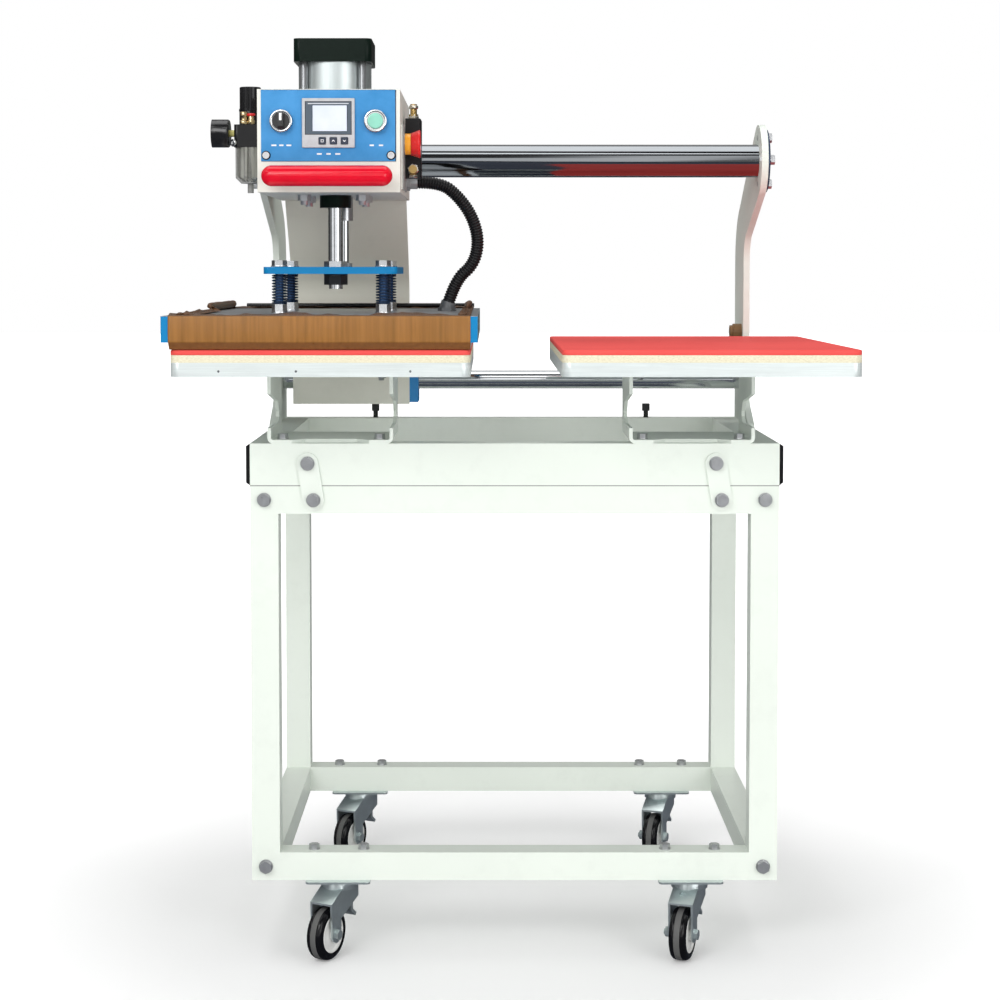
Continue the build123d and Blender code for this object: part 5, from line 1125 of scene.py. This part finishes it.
left_fitting = (bowl.x - 7.5 * MM, bowl.y - FITTING_FORWARD, FITTING_BASE)
right_fitting = (bowl.x + 3 * MM, bowl.y - FITTING_FORWARD, FITTING_BASE)
left_line = [
    (0, 0), (6.2, 0), (6.6, 0.5), (6.6, 4.5), (5.5, 5.2), (4.8, 6), (4.8, 10.5),
    (5.8, 11.2), (6, 11.8), (6, 17.2), (5.5, 18), (3, 18.2), (2.6, 16), (0, 16),
]
right_line = [(0, 0), (5.6, 0), (5.6, 6), (4.6, 6.6), (4.6, 12), (0, 12)]
fitting_parts = [(left_line, left_fitting, ALONG_Z, 28), (right_line, right_fitting, ALONG_Z, 28)]
turned_piece("push_fittings", brass, "fitting_brass", fitting_parts, 0.3 * MM)
ring_line = [(0, 0), (5.4, 0), (6, 0.6), (6, 3), (5.2, 3.8), (3, 3.8), (2.6, 2.6), (0, 2.6)]
ring_part = (ring_line, (*right_fitting[:2], RING_BASE), ALONG_Z, 28)
turned_piece("release_ring", stop_red, "stop_red", [ring_part], 0.2 * MM)

# Nickel trim of the air valve: nut and knurled head on the silencer, nut and tail on the elbow
nickel = finished("nickel_plating", (0.62, 0.58, 0.50), 0.22, 1.0, 2, 50)
valve_low, valve_high = span("valve_body")
silencer = Vector((middle("valve_body").x, middle("valve_body").y, valve_high.z))
elbow = Vector((silencer.x, valve_low.y, head_bottom + 37 * MM))
tail = elbow + Vector((0, -6 * MM, -12.2 * MM))
collar_line = [(5, 0), (7.4, 0), (8, 0.6), (8, 4), (7.4, 4.6), (6.6, 5), (6.6, 7.2), (5, 7.2)]
head_line = [(4, 15), (5.8, 15), (6.6, 15.8), (6.8, 17.6), (6.6, 19.4), (5.8, 20.2), (4, 20.2)]
elbow_nut = [(5, 0), (8.2, 0), (8.6, 0.6), (8.6, 3), (7.8, 3.8), (5, 3.8)]
tail_nut = [(4, 0), (6.4, 0), (6.8, 0.5), (6.8, 3.2), (6.2, 3.8), (4, 3.8)]
valve_parts = [
    (collar_line, silencer, ALONG_Z, 6),
    (head_line, silencer, ALONG_Z, 28),
    (elbow_nut, elbow, TO_THE_FRONT, 6),
    (tail_nut, tail, ALONG_Z, 6),
]
turned_piece("valve_trim", nickel, "fitting_brass", valve_parts, 0.3 * MM)

plug_line = [(0, 0), (5.2, 0), (5.8, 0.6), (5.8, 4.6), (5, 5.4), (2.6, 5.4), (2.2, 3.4), (0, 3.4)]
plug_spot = span("regulator_body")[0] + Vector((1.5 * MM, 6 * MM, 6.5 * MM))
plug_part = (plug_line, plug_spot, (-0.75, -0.66, 0), 28)
turned_piece("port_plug", bright_zinc, "zinc_steel", [plug_part], 0.3 * MM)

# Chrome bezels: a rounded ring round the knob and round the green button
BEZEL_RADIUS = 15.9
BEZEL_BORE = 12.5
BEZEL_SKIRT = 15
BEZEL_DEPTH = 7.6
BEZEL_STEPS = 8
bezel_middle, bezel_half = (BEZEL_RADIUS + BEZEL_BORE) / 2, (BEZEL_RADIUS - BEZEL_BORE) / 2
bezel_line = [(BEZEL_BORE, -0.4), (BEZEL_BORE + 0.4, 0.4)]
for step in range(1, BEZEL_STEPS):
    angle = math.pi * step / BEZEL_STEPS
    bezel_line.append((bezel_middle - bezel_half * math.cos(angle), 0.4 + 0.8 * math.sin(angle)))
bezel_line += [(BEZEL_RADIUS, 0), (BEZEL_RADIUS, -BEZEL_DEPTH)]
bezel_line += [(BEZEL_SKIRT, -BEZEL_DEPTH), (BEZEL_SKIRT, -0.4)]
bezel_parts = [
    (bezel_line, (x, panel_low.y - 8 * MM, knob.z), TO_THE_FRONT, 64)
    for x in (knob.x, middle("green_button").x)
]
turned_piece("bezel_rings", ring_skin, "zinc_steel", bezel_parts)

# Emergency stop: a mushroom that flares away from its collar, on its stem
STOP_LENGTH = 14
STOP_SKIRT = [
    (0, 5.6), (15.3, 5.6), (15.3, 0), (15.8, 0), (16.1, 0.4), (17, 3.4), (18.5, 8), (19.4, 9.8),
    (19.9, 10.8), (20, 11.6), (19.7, 12.5), (18.9, 13.2), (16, 13.7), (9, STOP_LENGTH), (0, STOP_LENGTH),
]
stop_low, stop_high = span("stop_button")
stop_spot = Vector((stop_high.x - STOP_LENGTH * MM, middle("stop_button").y, middle("stop_button").z))
stem_start = (stop_low.x - stop_spot.x) / MM
stem_line = [(0, stem_start), (6, stem_start), (6, 5.8), (0, 5.8)]
stop_parts = [(STOP_SKIRT, stop_spot, ALONG_X, 64), (stem_line, stop_spot, ALONG_X, 32)]
on_button = {"body": "emergency_stop", "replaced": ["stop_button"]}
turned_piece("stop_mushroom", stop_red, "stop_red", stop_parts, 0.2 * MM, **on_button)

# Dark rims round the two panel screws
SCREW_SPREAD = 0.175
SCREW_RISE = 8.5 * MM
screw_line = [(3, 0), (6.2, 0), (6.4, 0.4), (6.2, 1.2), (5.2, 2), (4.7, 2.2), (3, 2.2)]
screw_parts = [
    (screw_line, (press_x + side * SCREW_SPREAD / 2, panel_low.y, panel_low.z + SCREW_RISE), TO_THE_FRONT, 40)
    for side in (-1, 1)
]
turned_piece("screw_rims", black_gloss, "black_plastic", screw_parts)


# Floor and light
class Sky(Board):
    """The studio round the machine: white behind it, soft light on it, strips and gaps in its gloss."""

    def __init__(self, name):
        world = bpy.data.worlds.new(name)
        bpy.context.scene.world = world
        world.use_nodes = True
        self.tree = world.node_tree
        self.backing = self.tree.nodes["Background"]
        self.backing.inputs["Color"].default_value = (1, 1, 1, 1)
        around = self.node("ShaderNodeTexCoord", {}, out="Generated")
        self.way = self.node("ShaderNodeSeparateXYZ", {}, around)
        self.seen = self.node("ShaderNodeLightPath", {})

    def band(self, axis, low, high, edge=0.03):
        """1 between two places of an axis, with soft edges."""
        value = self.way.named(axis)
        return value.clipped(low - edge, low + edge) * (1 - value.clipped(high - edge, high + edge))

    def shine(self, strength):
        """Sets the strength of the light from every side."""
        self._fill(self.backing.inputs["Strength"], strength)


sky = Sky("studio")
in_front = sky.band("Y", -2, -0.05, 0.1)
windows = sky.band("X", -0.80, -0.45) * 1.1 + sky.band("X", -0.17, 0.42) + 0.22
heights = sky.band("Z", -0.10, 0.44) + sky.band("Z", 0.62, 0.76, 0.015) * 2.2
overhead = sky.band("Y", -0.20, 0.50) * sky.band("Z", 0.82, 1.2) * 2.4
gloss = in_front * windows * heights + overhead + (1 - in_front) * sky.band("Z", 0.3, 0.8, 0.1) * 0.4 + 0.06
soft = in_front * 0.33 + 0.40
lit = soft + sky.seen.named("Is Glossy Ray") * (gloss - soft)
sky.shine(lit + sky.seen.named("Is Camera Ray") * (1.0 - lit))

FLOOR = 30
floor_mesh = bpy.data.meshes.new("studio_floor")
floor_corners = [(-FLOOR, -FLOOR, 0), (FLOOR, -FLOOR, 0), (FLOOR, FLOOR, 0), (-FLOOR, FLOOR, 0)]
floor_mesh.from_pydata(floor_corners, [], [(0, 1, 2, 3)])
floor_paint = finished("studio_floor", (0.93, 0.93, 0.93), 0.75)
rays = floor_paint.node("ShaderNodeLightPath", {})
masked(floor_paint, rays.named("Is Glossy Ray"), (0.055, 0.065, 0.095))
far_away = floor_paint.node("ShaderNodeVectorMath", {"operation": "LENGTH"}, floor_paint.place, out="Value")
floor_paint.set("Emission Color", (1, 1, 1, 1))
floor_paint.set("Emission Strength", (far_away.clipped(0.5, 2.2) * 0.86 + 0.14) * rays.named("Is Camera Ray"))
piece_of("studio_floor", floor_mesh, floor_paint, False)


def softbox(name, place, aim, size, power, seen=True):
    """A rectangular lamp, which the gloss of the machine shows or doesn't."""
    lamp = bpy.data.lights.new(name, "AREA")
    lamp.shape = "RECTANGLE"
    lamp.size, lamp.size_y = size
    lamp.energy = power
    holder = new_object(name, lamp)
    holder.location = place
    holder.rotation_euler = (Vector(aim) - Vector(place)).to_track_quat("-Z", "Y").to_euler()
    holder.visible_glossy = seen


softbox("key_light", (-1.4, -3.0, 2.4), (0, 0, 0.8), (1.8, 1.4), 42)
softbox("fill_light", (2.0, -3.0, 1.4), (0, 0, 0.7), (1.6, 2.0), 31)
softbox("low_light", (-0.2, -3.4, 0.7), (0, 0, 0.9), (2.4, 1.0), 16, False)
softbox("top_light", (0, 0.2, 3.2), (0, 0, 0.9), (2.4, 1.2), 24, False)
